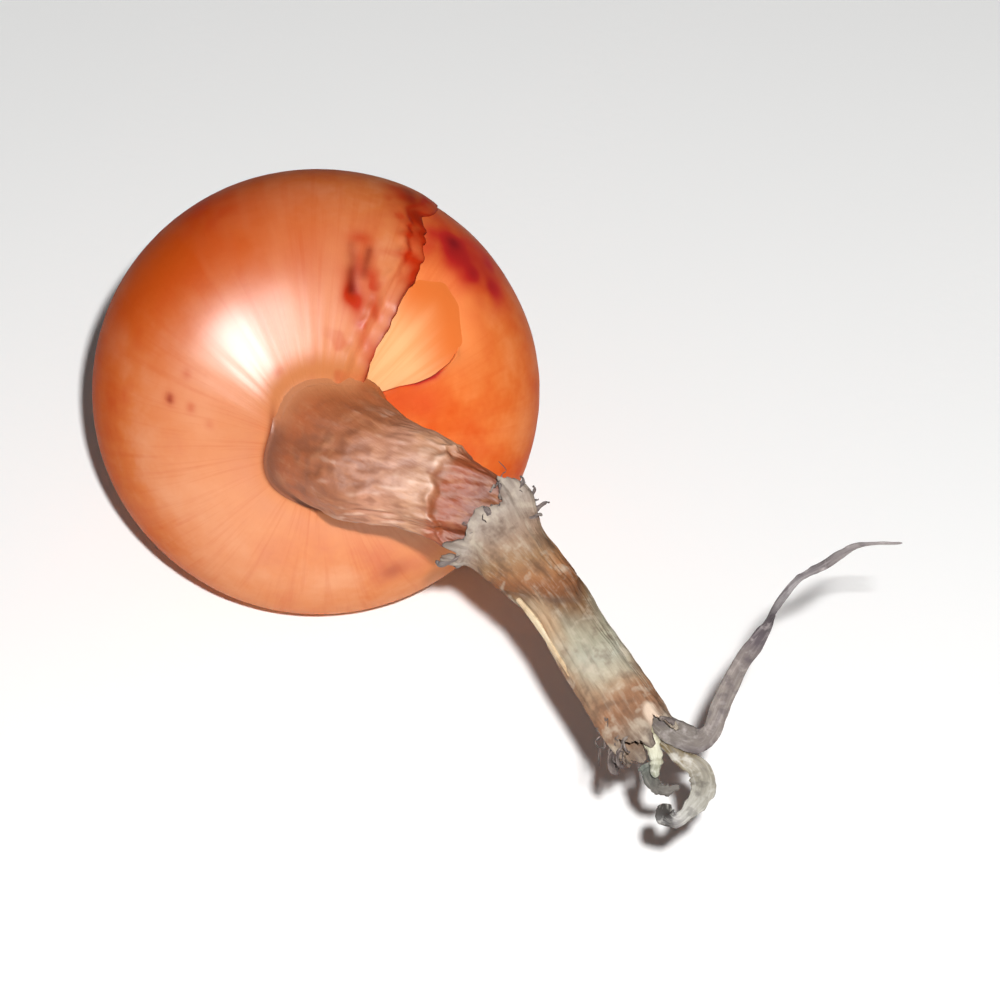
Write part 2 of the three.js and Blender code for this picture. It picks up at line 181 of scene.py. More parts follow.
@dataclass
class Spline:
    """A centripetal Catmull-Rom curve through points, run over by a parameter from 0 to 1.

    Attributes:
        points: the places that it passes through, in millimetres.
    """

    points: Array

    def __post_init__(self) -> None:
        """Adds a mirrored point at each end, so that the first and last spans have neighbours."""
        self.points = np.asarray(self.points, dtype=float)
        first = 2 * self.points[0] - self.points[1]
        last = 2 * self.points[-1] - self.points[-2]
        self.padded = np.vstack([first, self.points, last])

    def at(self, place: Array) -> Array:
        """Places on the curve at parameters from 0 to 1, with centripetal slopes at its points."""
        spans = len(self.points) - 1
        along = np.clip(np.asarray(place, dtype=float), 0.0, 1.0) * spans
        cell = np.minimum(along.astype(int), spans - 1)
        p0, p1, p2, p3 = (self.padded[cell + k] for k in range(4))
        d0, d1, d2 = (
            np.sqrt(np.linalg.norm(b - a, axis=-1, keepdims=True))
            for a, b in ((p0, p1), (p1, p2), (p2, p3))
        )
        m1 = d1 * ((p1 - p0) / d0 - (p2 - p0) / (d0 + d1) + (p2 - p1) / d1)
        m2 = d1 * ((p2 - p1) / d1 - (p3 - p1) / (d1 + d2) + (p3 - p2) / d2)
        return cubic((along - cell)[..., None], p1, m1, p2, m2)

    def tangent(self, place: Array) -> Array:
        """Unit direction of the curve, from two places close together."""
        place = np.asarray(place, dtype=float)
        ahead = self.at(np.minimum(place + TINY, 1.0))
        return unit(ahead - self.at(np.maximum(place - TINY, 0.0)))

    def stretch(self, start: float, end: float) -> Spline:
        """The part of the curve between two parameters, through nine of its points."""
        return Spline(self.at(np.linspace(start, end, 9)))

    def length(self) -> float:
        """The curve's length, summed over short chords."""
        points = self.at(np.linspace(0.0, 1.0, 80))
        return float(np.sum(np.linalg.norm(np.diff(points, axis=0), axis=1)))


# ------------------------------------------------------------------------------ meshes


@dataclass
class Sheet:
    """A grid of points in millimetres that becomes one mesh object in metres.

    Its outer side is the side from which the columns run to the right as the rows run up.

    Attributes:
        points: rows by columns by three.
        uv: the surface's own coordinates, one pair for each point.
        masks: shares at each point, by name, that a material may read, kept from 0 to 1.
        closed: whether the last column meets the first.
        cut_column: the number of a column of cells to leave out, for a split.
    """

    points: Array
    uv: Array
    masks: dict[str, Array] = field(default_factory=dict)
    closed: bool = False
    cut_column: int | None = None

    def cells(self, values: Array, wrap: float = 0.0) -> Array:
        """The four corner values of every cell that is kept.

        Wrap is added to the first number of the corners past the last column.
        """
        right = np.roll(values, -1, axis=1)
        if wrap:
            right[:, -1, 0] += wrap
        corners = np.stack([values[:-1], right[:-1], right[1:], values[1:]], axis=2)
        kept = np.ones(values.shape[1], dtype=bool)
        kept[-1] = self.closed
        if self.cut_column is not None:
            kept[self.cut_column] = False
        return corners[:, kept].reshape(-1, *values.shape[2:])

    def build(self, name: str, wall: float = 0.0) -> bpy.types.Object:
        """Makes the mesh object, welds the points that coincide and smooths its shading.

        Wall is its thickness in millimetres, inwards from its faces, if it has one.
        """
        rows, columns = self.points.shape[:2]
        mesh = bpy.data.meshes.new(name)
        numbers = self.cells(np.arange(rows * columns).reshape(rows, columns)).reshape(-1, 4)
        mesh.from_pydata((self.points.reshape(-1, 3) * MM).tolist(), [], numbers.tolist())
        layer = mesh.uv_layers.new(name="surface")
        corners = self.cells(self.uv, wrap=1.0 if self.closed else 0.0)
        layer.data.foreach_set("uv", corners.astype(np.float32).ravel())
        for mask, values in self.masks.items():
            attribute = mesh.attributes.new(mask, "FLOAT", "POINT")
            shares = np.clip(values, 0.0, 1.0).astype(np.float32)
            attribute.data.foreach_set("value", shares.ravel())
        work = bmesh.new()
        work.from_mesh(mesh)
        bmesh.ops.remove_doubles(work, verts=work.verts, dist=1e-6)
        work.to_mesh(mesh)
        work.free()
        mesh.shade_smooth()
        piece = bpy.data.objects.new(name, mesh)
        bpy.context.scene.collection.objects.link(piece)
        if wall:
            solid = piece.modifiers.new("wall", "SOLIDIFY")
            solid.thickness = wall * MM
            solid.offset = -1.0
        return piece


def joined(name: str, sheets: list[Sheet]) -> bpy.types.Object:
    """Builds several sheets as one mesh object, such as a tuft of fibres."""
    parts = [sheet.build(f"{name}_{i}") for i, sheet in enumerate(sheets)]
    with bpy.context.temp_override(active_object=parts[0], selected_editable_objects=parts):
        bpy.ops.object.join()
    parts[0].name = name
    parts[0].data.name = name
    return parts[0]


def dress(piece: bpy.types.Object, tint: Tint, slot: str, *nodes: str) -> None:
    """Gives a piece its material, puts it under the root body and hides the solids it stands for.
    """
    piece.data.materials.append(tint.value.material())
    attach(piece, ROOT_BODY)
    if nodes:
        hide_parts(*nodes)
    log.info("%s: %d faces, %s", piece.name, len(piece.data.polygons), tint.value.name)


@dataclass
class Tube:
    """A flattened tube along a curve, the form of the neck, the leaves and the roots.

    Attributes:
        line: the curve that it follows.
        widths: half widths along the line, in millimetres.
        depths: half depths along the line, in millimetres.
        wide: the direction of the width.
        twist: turn of the section along the line, in radians.
    """

    line: Spline
    widths: Numbers
    depths: Numbers
    wide: Array
    twist: Numbers = (0.0, 0.0)

    def at(self, place: Array, angle: Array, swell: Array = 1.0, out: Array = 0.0) -> Array:
        """Points on the tube: line + width cos(angle) side + depth sin(angle) normal.

        The side is the wide direction made square to the line and turned by the twist, and the
        normal is square to both. Swell is a factor on both half sizes, and out is a further
        distance outwards in millimetres.
        """
        tangent = self.line.tangent(place)
        level = unit(self.wide - tangent * np.sum(self.wide * tangent, axis=-1, keepdims=True))
        upright = np.cross(tangent, level)
        turn = read(self.twist, place)[..., None]
        side = level * np.cos(turn) + upright * np.sin(turn)
        normal = upright * np.cos(turn) - level * np.sin(turn)
        across = read(self.widths, place) * np.cos(angle)
        through = read(self.depths, place) * np.sin(angle)
        outward = side * (np.cos(angle) * read(self.depths, place))[..., None]
        outward = outward + normal * (np.sin(angle) * read(self.widths, place))[..., None]
        swell, out = np.broadcast_arrays(swell, out)
        return (
            self.line.at(place)
            + (side * across[..., None] + normal * through[..., None]) * swell[..., None]
            + unit(outward) * out[..., None]
        )

    @staticmethod
    def rounded(along: int) -> Array:
        """Places from 0 to 1 that crowd at both ends: (1 - cos(pi t)) / 2."""
        return 0.5 - 0.5 * np.cos(np.linspace(0.0, math.pi, along))

    def rod(self, around: int, along: int, out: Array = 0.0) -> Sheet:
        """The tube as a closed sheet whose ends round off as quarter ellipses to a point.

        Out is a displacement in millimetres, one number or one for each row and column.
        """
        place, angle = crossed(self.rounded(along), round_turn(around))
        cap = float(np.clip(max(self.widths[0], self.widths[-1]) / self.line.length(), 0.01, 0.2))
        nearest = np.minimum(np.minimum(place, 1.0 - place) / cap, 1.0)
        shrink = np.sqrt(1.0 - (1.0 - nearest) ** 2)
        points = self.at(place, angle, swell=shrink, out=out * shrink)
        return Sheet(points, np.stack([angle / TURN, place], axis=-1), closed=True)


# ------------------------------------------------------------------------------ materials


def linear(colour: str) -> tuple[float, float, float, float]:
    """Turns an sRGB hex colour to linear light: c / 12.92, or ((c + 0.055) / 1.055)^2.4."""
    parts = [int(colour[i : i + 2], 16) / 255.0 for i in (1, 3, 5)]
    light = [c / 12.92 if c <= 0.04045 else ((c + 0.055) / 1.055) ** 2.4 for c in parts]
    return (light[0], light[1], light[2], 1.0)


@dataclass
class Nodes:
    """A material's node tree, with a short method for each thing that the finishes ask of it."""

    tree: bpy.types.NodeTree

    def feed(self, node: bpy.types.Node, inputs: dict) -> None:
        """Links outputs to a node's sockets, or sets them to numbers and hex colours."""
        for key, value in inputs.items():
            if isinstance(value, bpy.types.NodeSocket):
                self.tree.links.new(value, node.inputs[key])
            else:
                node.inputs[key].default_value = linear(value) if isinstance(value, str) else value

    def add(
        self, kind: str, inputs: dict | None = None, output: int | str = 0, **settings: object
    ) -> Socket:
        """Adds a shader node with its settings, constants and links, and gives an output of it.

        Args:
            kind: Blender's name of the node, after its prefix.
            inputs: for a socket's name or number, an output to link, a number or a hex colour.
            output: the socket to return.
            settings: the node's own properties, and stops, the places and colours of a ramp.
        """
        made = self.tree.nodes.new("ShaderNode" + kind)
        stops = settings.pop("stops", None)
        for key, value in settings.items():
            setattr(made, key, value)
        self.feed(made, inputs or {})
        if stops:
            ramp = made.color_ramp.elements
            for element, (place, colour) in zip(ramp, (stops[0], stops[-1])):
                element.position = place
                element.color = linear(colour)
            for place, colour in stops[1:-1]:
                ramp.new(place).color = linear(colour)
        return made.outputs[output]

    def math(self, how: str, *values: Socket | float) -> Socket:
        """Arithmetic on one to three numbers."""
        return self.add("Math", dict(enumerate(values)), operation=how)

    def ramp(self, value: Socket, stops: Stops) -> Socket:
        """The colour at a number, blended between the colours at places."""
        return self.add("ValToRGB", {0: value}, stops=stops)

    def rise(self, value: Socket, low: float, high: float, top: float) -> Socket:
        """A straight rise from 0 at low to top at high, level past both."""
        return self.add("MapRange", {0: value, 1: low, 2: high, 3: 0.0, 4: top})

    def mask(self, name: str) -> Socket:
        """One of the sheet's own shares."""
        return self.add("Attribute", output="Fac", attribute_name=name)

    def layers(self, base: Socket, *covers: tuple[Socket, str]) -> Socket:
        """Lays colours over a base in turn, each by its share."""
        for share, cover in covers:
            base = self.add("Mix", {0: share, 6: base, 7: cover}, 2, data_type="RGBA")
        return base

    def masked(self, base: Socket, **covers: str) -> Socket:
        """Lays colours over a base in turn, each by the mask of its name."""
        return self.layers(base, *((self.mask(name), cover) for name, cover in covers.items()))

    def surface(self) -> tuple[Socket, Socket]:
        """The surface's own coordinates: round the piece, and along it."""
        split = self.add("SeparateXYZ", {0: self.add("UVMap", uv_map="surface")})
        return split, split.node.outputs[1]

    def noise(self, where: Socket, detail: float) -> Socket:
        """Cloudy noise from 0 to 1, one cell to a unit, with octaves of finer detail."""
        inputs = {"Vector": where, "Scale": 1.0, "Detail": detail, "Roughness": 0.6}
        return self.add("TexNoise", inputs)

    def cloud(self, size: float, detail: float) -> Socket:
        """Noise by object coordinates, in cells of a size in millimetres."""
        spot = {0: self.add("TexCoord", output="Object"), "Scale": 1.0 / (size * MM)}
        return self.noise(self.add("VectorMath", spot, operation="SCALE"), detail)

    def fibres(self, count: float, length: float, detail: float, shift: float = 0.0) -> Socket:
        """Noise that closes round a piece: it reads cos and sin of the turn, and the length.

        There are count cells in one turn and length cells along the piece. Shift moves the
        pattern, so that two layers differ.
        """
        turn, along = self.surface()
        angle = self.math("MULTIPLY", turn, TURN)
        waves = [self.math(curve, angle) for curve in ("COSINE", "SINE")]
        parts = [self.math("MULTIPLY_ADD", wave, count / TURN, shift) for wave in waves]
        parts.append(self.math("MULTIPLY_ADD", along, length, shift))
        return self.noise(self.add("CombineXYZ", dict(enumerate(parts))), detail)


@dataclass(frozen=True)
class Finish:
    """What every finish of the onion shares: a dielectric with its own colour and relief.

    Attributes:
        name: the real material and how its surface was made.
        roughness: from 0, mirror, to 1, matte.
        specular: strength of the reflection, 0.5 for an index near 1.5.
        relief: height in millimetres of the finest relief.
        coat: weight of a waxy film, or the name of the mask that gives it.
        coat_roughness: the film's own roughness.
    """

    name: str
    roughness: float = 0.6
    specular: float = 0.4
    relief: float = 0.02
    coat: float | str = 0.0
    coat_roughness: float = 0.34

    def colour(self, nodes: Nodes) -> Socket:
        """The socket that gives the surface colour."""
        raise NotImplementedError

    def height(self, nodes: Nodes) -> Socket:
        """The socket that gives the fine relief, from 0 to 1."""
        raise NotImplementedError

    def material(self) -> bpy.types.Material:
        """The material, made once: colour, bump and coat into one principled shader."""
        made = bpy.data.materials.get(self.name)
        if made:
            return made
        made = bpy.data.materials.new(self.name)
        made.use_nodes = True
        nodes = Nodes(made.node_tree)
        bump = {"Height": self.height(nodes), "Strength": 1.0, "Distance": self.relief * MM}
        sockets = {
            "Base Color": self.colour(nodes),
            "Normal": nodes.add("Bump", bump),
            "Roughness": self.roughness,
            "Specular IOR Level": self.specular,
            "Coat Weight": nodes.mask(self.coat) if isinstance(self.coat, str) else self.coat,
            "Coat Roughness": self.coat_roughness,
        }
        nodes.feed(made.node_tree.nodes["Principled BSDF"], sockets)
        return made


@dataclass(frozen=True)
class DryTunic(Finish):
    """Cured dry onion tunic: a thin, satin-glossy brown-orange skin with parallel veins.

    Its natural wax gives one broad soft highlight that the vein ridges break into streaks, and
    the colour runs along the meridians. Veins are about 0.5 mm apart at the equator.

    Attributes:
        deep: the saturated colour.
        main: the common colour.
        pale: the washed-out colour.
        warm: the colour where the flush mask is 1, a red patch, and painted shade at the limbs.
        mark: the colour of bruises and of the torn edge.
        dark: the colour in the middle of a bruise, and of the painted shadow along the sleeve's
            lower edge.
        soil: the brown that a neighbouring layer leaves on it.
        vein: how strongly the veins show in the colour, from 0 to 1.
    """

    coat: float | str = "wax"
    deep: str = "#c04a12"
    main: str = "#d0702e"
    pale: str = "#dc9468"
    warm: str = "#bd4a10"
    mark: str = "#b42c0c"
    dark: str = "#6c1806"
    soil: str = "#c27646"
    vein: float = 0.35

    def colour(self, nodes: Nodes) -> Socket:
        """Clouded colour, streaked along the veins, with masks for flush, pallor and marks."""
        # The flush mask paints shade at the limbs, the pallor mask bounce light low down, and the
        # scab mask a shadow under the sleeve.
        stops = ((0.34, self.deep), (0.5, self.main), (0.68, self.pale))
        base = nodes.ramp(nodes.cloud(5.5, 4.0), stops)
        base = nodes.masked(base, pallor=self.pale, flush=self.warm)
        narrow = nodes.rise(nodes.fibres(150.0, 5.0, 3.0), 0.5, 0.72, self.vein)
        wide = nodes.rise(nodes.fibres(30.0, 4.0, 2.0, shift=7.0), 0.45, 0.85, self.vein)
        base = nodes.layers(base, (narrow, self.deep), (wide, self.pale))
        return nodes.masked(base, soil=self.soil, bruise=self.mark, scab=self.dark)

    def height(self, nodes: Nodes) -> Socket:
        """Fine vein ridges along the meridians and a faint leathery grain."""
        ridge = nodes.fibres(230.0, 4.0, 2.0, shift=3.0)
        return nodes.math("MULTIPLY_ADD", ridge, 0.75, nodes.cloud(0.6, 2.0))


@dataclass(frozen=True)
class LiveScale(Finish):
    """Moist outer scale of the live bulb: smooth and waxy, a clear peach that turns orange.

    Attributes:
        vein: the colour of its veins.
        main: the peach.
        ripe: the orange, away from the neck.
    """

    coat: float | str = 0.05
    coat_roughness: float = 0.3
    vein: str = "#e59c62"
    main: str = "#ecac76"
    ripe: str = "#d86e30"

    def colour(self, nodes: Nodes) -> Socket:
        """Peach with faint parallel veins, ripening by a mask."""
        base = nodes.ramp(self.height(nodes), ((0.3, self.vein), (0.62, self.main)))
        return nodes.masked(base, ripe=self.ripe)

    def height(self, nodes: Nodes) -> Socket:
        """Low ridges over the veins."""
        return nodes.fibres(120.0, 4.0, 2.0)


@dataclass(frozen=True)
class DryPaper(Finish):
    """Dried leaf tissue: matte papery skin with lengthwise fibres and colour in bands.

    It is the finish of the sleeve, the sheath and the leaves. Fibres are about 0.2 mm apart, drawn
    a little coarser so that they show. Where it melts into a skin, it has the skin's wax.

    Attributes:
        bands: places along the piece and their colours.
        streak: the colour of the darker fibres, and of the darkened places, mostly painted shade
            in folds, troughs and under edges.
        light: the colour of the worn, paler fibres.
        fibres: fibre cells in one turn.
        length: cells along the piece.
        wander: how far noise moves the bands, as a share of the length.
        contrast: how strongly the fibres show in the colour.
        blotch: how strongly stains break the colour up.
        stain_size: width of a stain, in millimetres.
        melted: the colour where the piece runs into a skin.
        crest: the colour of the painted glints on the crests of its folds, and of pale worn
            patches.
    """

    coat: float | str = "melt"
    bands: Stops = ((0.0, "#9a8876"), (1.0, "#8a7a6c"))
    streak: str = "#6a5040"
    light: str = "#c9b8a4"
    fibres: float = 60.0
    length: float = 6.0
    wander: float = 0.12
    contrast: float = 0.45
    blotch: float = 0.5
    stain_size: float = 1.1
    melted: str = "#c67a4a"
    crest: str = "#dcb49c"

    def colour(self, nodes: Nodes) -> Socket:
        """Bands along the piece, moved about by noise, under fibres, stains and masks."""
        along = nodes.surface()[1]
        moved = nodes.math("MULTIPLY_ADD", nodes.cloud(2.2, 4.0), self.wander * 2.0, along)
        base = nodes.ramp(nodes.math("SUBTRACT", moved, self.wander), self.bands)
        fibre = nodes.fibres(self.fibres, self.length, 3.0)
        stain = nodes.cloud(self.stain_size, 3.0)
        base = nodes.layers(
            base,
            (nodes.rise(fibre, 0.5, 0.75, self.contrast), self.streak),
            (nodes.rise(fibre, 0.48, 0.26, self.contrast), self.light),
            (nodes.rise(stain, 0.54, 0.66, self.blotch), self.streak),
            (nodes.rise(stain, 0.45, 0.33, self.blotch), self.light),
        )
        return nodes.masked(base, crest=self.crest, grime=self.streak, melt=self.melted)

    def height(self, nodes: Nodes) -> Socket:
        """Fibre ridges with crumpled grain."""
        fibre = nodes.fibres(self.fibres * 1.5, self.length, 3.0)
        return nodes.math("MULTIPLY_ADD", nodes.cloud(0.5, 3.0), 0.6, fibre)


@dataclass(frozen=True)
class Mottle(Finish):
    """A plain material in two tones by noise: cracked dead cork, or card with a faint tooth.

    Attributes:
        low: the tone of the pits.
        high: the tone of the rest.
        spread: values of the noise where each tone is full.
        patch: size of the noise's cells, in millimetres.
        tooth: size of the relief's cells.
        detail: octaves of finer noise.
    """

    low: str = "#54402f"
    high: str = "#a08a70"
    spread: tuple[float, float] = (0.35, 0.62)
    patch: float = 0.7
    tooth: float = 0.7
    detail: float = 4.0

    def colour(self, nodes: Nodes) -> Socket:
        """The two tones by noise."""
        stops = tuple(zip(self.spread, (self.low, self.high)))
        return nodes.ramp(nodes.cloud(self.patch, self.detail), stops)

    def height(self, nodes: Nodes) -> Socket:
        """The relief by noise."""
        return nodes.cloud(self.tooth, self.detail)


class Tint(Enum):
    """The finishes of the onion, by the piece that they are on."""

    # The peach in the split: the scale's own colour, lightened as a painted highlight.
    FLESH = LiveScale("live onion scale, waxy", roughness=0.45, specular=0.15)
    # Saturated, clean orange with red stains.
    INNER = DryTunic(
        "cured onion tunic, smooth inner layer", roughness=0.45, specular=0.03,
        deep="#cc4c10", main="#d66a2c", pale="#e08248", warm="#cc4a22", mark="#c42a22",
        dark="#7a141c", vein=0.22,
    )
    # Duller orange under a soft shine, paler where it is worn.
    OUTER = DryTunic(
        "cured onion tunic, weathered outer layer", roughness=0.5, specular=0.03, vein=0.26
    )
    # Brown paper with painted glints on its creases, dark past its fold.
    SLEEVE = DryPaper(
        "dried neck sleeve, papery", roughness=0.55, specular=0.4, relief=0.05,
        bands=((0.0, "#ba5c24"), (0.2, "#b45a28"), (0.3, "#a65a30"), (0.4, "#a86844"),
               (0.48, "#bb8266"), (0.56, "#b48064"), (0.62, "#b88868"), (0.66, "#b48062"),
               (0.685, "#94441a"), (0.74, "#8c3c14"), (0.8, "#743416"), (1.0, "#5c3a22")),
        streak="#83482a", light="#cc9268", fibres=40.0, length=14.0, wander=0.035,
        contrast=0.32, blotch=0.3, stain_size=2.6,
    )
    # Grey at both ends, with a rust band and a grey-green band between.
    SHEATH = DryPaper(
        "dead leaf sheath, fibrous", roughness=0.82, specular=0.22, relief=0.08,
        bands=((0.0, "#9c9288"), (0.14, "#a09286"), (0.24, "#987e6a"), (0.33, "#94704e"),
               (0.41, "#9c6a42"), (0.46, "#885430"), (0.5, "#72431f"), (0.53, "#7c5a3a"),
               (0.58, "#8a7c66"), (0.64, "#a29c86"), (0.7, "#aca896"), (0.75, "#a89c86"),
               (0.79, "#a08468"), (0.83, "#93694b"), (0.88, "#865e42"), (0.93, "#85705e"),
               (1.0, "#6c635c")),
        streak="#5a4030", light="#c4b6a2", fibres=36.0, length=12.0, wander=0.035,
        contrast=0.4, blotch=0.5, stain_size=1.5, melted="#c09a74", crest="#d6bea8",
    )
    # Weathered grey that darkens to the tips.
    SHRED = DryPaper(
        "dead leaf shreds, weathered", roughness=0.85, specular=0.2, relief=0.04,
        bands=((0.0, "#8a7c74"), (0.5, "#766a66"), (1.0, "#544a48")),
        streak="#3e3434", light="#a89e94", fibres=14.0,
    )
    # A pale membrane whose tip is nearly black.
    CURL = DryPaper(
        "curled dry leaf membrane", roughness=0.55, specular=0.35, relief=0.03,
        bands=((0.0, "#5c4a22"), (0.16, "#6a5a38"), (0.28, "#857c6a"), (0.45, "#979286"),
               (0.6, "#a5a29a"), (0.7, "#7c7876"), (0.78, "#3a3634"), (1.0, "#46423f")),
        streak="#4a423c", light="#c9c5bc", fibres=12.0, contrast=0.6,
    )
    # Dull green-grey, half in shadow.
    STUB = DryPaper(
        "short dry leaf end", roughness=0.8, specular=0.25, relief=0.04,
        bands=((0.0, "#5f665e"), (0.5, "#58544e"), (1.0, "#6e6862")),
        streak="#35302e", light="#8f8a82", fibres=12.0,
    )
    # A bright cream line along the sheath.
    EDGE = DryPaper(
        "dead leaf edge, stiff and sun-bleached", roughness=0.7, specular=0.3, relief=0.04,
        bands=((0.0, "#cfae86"), (0.4, "#ecd6b0"), (1.0, "#cfae86")),
        streak="#9c7448", light="#f2e2c6", fibres=30.0, length=8.0,
    )
    # Pale green-cream in the sheath's open end.
    STALK = DryPaper(
        "dried inner stalk, pale", roughness=0.6, specular=0.35, relief=0.03,
        bands=((0.0, "#bdb48c"), (0.5, "#cfccb4"), (1.0, "#8c8e7c")),
        streak="#837a5c", light="#f6f2e4", fibres=16.0,
    )
    # Grey with a purple cast, darkest where it twists.
    LEAF = DryPaper(
        "dried leaf, shrivelled", roughness=0.8, specular=0.25, relief=0.05,
        bands=((0.0, "#6a625a"), (0.2, "#736a64"), (0.42, "#857b74"), (0.54, "#5a5054"),
               (0.64, "#3c3436"), (0.7, "#8c8686"), (0.82, "#5e5656"), (0.9, "#8a8280"),
               (1.0, "#8a8280")),
        streak="#4e4448", light="#b4aba8", fibres=18.0, length=14.0,
    )
    # Straw-coloured wiry roots.
    ROOT = DryPaper(
        "dried onion root, wiry", roughness=0.85, specular=0.2, relief=0.03,
        bands=((0.0, "#a39580"), (0.6, "#b4a892"), (1.0, "#8f8472")),
        streak="#6c5d4b", light="#d5cab6", fibres=10.0, length=12.0,
    )
    # Dark pits in a grey-brown crust.
    PLATE = Mottle("corky root plate", roughness=0.9, specular=0.15, relief=0.25)
    # A plain near-white ground that takes the shadow.
    CARD = Mottle(
        "white studio card", roughness=0.95, specular=0.1, relief=0.01, low="#f9f9f8",
        high="#fcfcfb", spread=(0.0, 1.0), patch=60.0, tooth=0.8, detail=2.0,
    )


# ------------------------------------------------------------------------------ bulb


@dataclass(frozen=True)
class BulbForm:
    """The bulb's form: a squat globe round a tipped axis, with a flare where the neck leaves it.

    Attributes:
        radius: half the fleshy bulb's greatest width.
        crown: centre to shoulder, on the neck side.
        crown_flare: further rise of the shoulder where it turns into the neck.
        crown_flare_radius: how wide that rise is.
        heel: centre to the underside, on the root side.
        heel_taper: further fall of the underside at the root plate.
        heel_taper_radius: how wide that fall is.
        centre: the globe's middle.
        lean: the direction out of the neck.
        skins: both dry skins and their air.
        unevenness: noise that the bulb and everything on it follows.
    """

    radius: float = 15.35
    crown: float = 10.8
    crown_flare: float = 2.4
    crown_flare_radius: float = 4.4
    heel: float = 11.2
    heel_taper: float = 1.0
    heel_taper_radius: float = 5.0
    centre: tuple[float, float, float] = (0.0, 3.3, 14.15)
    lean: tuple[float, float, float] = (0.03, -0.85, 0.53)
    skins: float = 0.72
    unevenness: Noise = field(default_factory=lambda: Noise(11))

    def basis(self) -> Array:
        """Three rows: to the side, up and away from the axis, and along the axis."""
        axis = unit(np.array(self.lean))
        side = unit(np.array([1.0, 0.0, 0.0]) - axis * axis[0])
        return np.stack([side, np.cross(axis, side), axis])

    def place(self, side: Array, up: Array, along: Array) -> Array:
        """Points given as distances to the side, up and along the axis."""
        parts = np.stack(np.broadcast_arrays(side, up, along), axis=-1)
        return np.asarray(self.centre) + parts @ self.basis()

    def local(self, points: Array) -> Array:
        """The distances to the side, up and along the axis, of points."""
        return (points - np.asarray(self.centre)) @ self.basis().T

    def profile(self, polar: Array) -> tuple[Array, Array]:
        """Radius and height at a polar angle from the neck.

        The radius is R sin(polar). The height is cos(polar) times the crown or the heel, with the
        flare exp(-(radius / flare radius)^2) added at the neck and the taper taken at the roots.
        """
        radius = self.radius * np.sin(polar)
        fall = np.cos(polar)
        flare = self.crown_flare * bell(radius, self.crown_flare_radius)
        taper = self.heel_taper * bell(radius, self.heel_taper_radius)
        return radius, np.where(fall >= 0, fall * self.crown + flare, fall * self.heel - taper)

    def slope(self, polar: Array) -> Array:
        """The profile's direction at a polar angle, as parts outwards and along the axis."""
        ahead = self.profile(polar + TINY)
        behind = self.profile(np.maximum(polar - TINY, 0.0))
        return unit(np.stack([ahead[0] - behind[0], ahead[1] - behind[1]], axis=-1))

    def at(self, polar: Array, azimuth: Array, outside: float, relief: Array = 0.0) -> Array:
        """Points outside the bulb by a distance and a relief, square to its profile.

        Polar is the angle from the neck, and azimuth the angle round the axis from the side.
        No point is below the floor, so the underside is flat where the layers outside it are.
        """
        radius, height = self.profile(polar)
        slope, far = self.slope(polar), outside + relief
        radius = np.maximum(radius - far * slope[..., 1], 0.0)
        height = height + far * slope[..., 0]
        points = self.place(radius * np.cos(azimuth), radius * np.sin(azimuth), height)
        points[..., 2] = np.maximum(points[..., 2], self.skins - outside)
        return points

    def swelling(self, polar: Array, azimuth: Array) -> Array:
        """Gentle swelling of the bulb and what lies on it, a tenth of a millimetre high."""
        return 0.09 * self.unevenness.at(self.at(polar, azimuth, 0.0) + 50.0, 6.5)

    def over_shoulder(self, points: Array) -> Array:
        """Distance of points near the neck from the shoulder, square to it.

        It is the height over the shoulder times the cosine of the shoulder's slope.
        """
        side, up, along = np.moveaxis(self.local(points), -1, 0)
        polar = np.arcsin(np.clip(np.hypot(side, up) / self.radius, 0.0, 0.999))
        return (along - self.profile(polar)[1]) * self.slope(polar)[..., 0]

    def trail(self, path: Path, polar: Array, azimuth: Array) -> Array:
        """Distance in millimetres from points of the bulb straight to a path over it.

        The path's corners are polar angles and azimuths in degrees. One corner is a spot.
        """
        here = self.at(polar, azimuth, 0.0)
        corners = np.radians(np.asarray(path, dtype=float))
        knots = self.at(corners[:, 0], corners[:, 1], 0.0)
        best = np.linalg.norm(here - knots[0], axis=-1)
        for a, b in zip(knots[:-1], knots[1:]):
            share = np.clip((here - a) @ (b - a) / ((b - a) @ (b - a)), 0.0, 1.0)
            best = np.minimum(best, np.linalg.norm(here - a - share[..., None] * (b - a), axis=-1))
        return best


@dataclass(frozen=True)
class Opening:
    """An opening in a skin between two edges that run down the bulb and meet at its ends.

    Attributes:
        top: polar angle where it begins, in degrees.
        bottom: polar angle where it ends, in degrees.
        right: azimuths of its right edge, evenly spaced down it, in degrees.
        left: azimuths of its left edge.
        close: how far it takes to close at the bottom, in degrees.
    """

    top: float
    bottom: float
    right: Numbers
    left: Numbers
    close: float = 4.0

    def edges(self, polar: Array) -> tuple[Array, Array]:
        """Azimuths in radians of the right and the left edge at polar angles in radians.

        Past its ends both edges are the line midway between them.
        """
        degrees = np.degrees(polar)
        down = (degrees - self.top) / (self.bottom - self.top)
        right = np.radians(read(self.right, down))
        left = np.radians(read(self.left, down))
        share = ease(self.bottom + 1.5, self.bottom - self.close, degrees)
        share = share * ease(self.top - 2.0, self.top + 1.0, degrees)
        middle, half = (left + right) / 2, (left - right) / 2 * share
        return middle - half, middle + half


Marks = tuple[tuple[float, float, Path], ...]

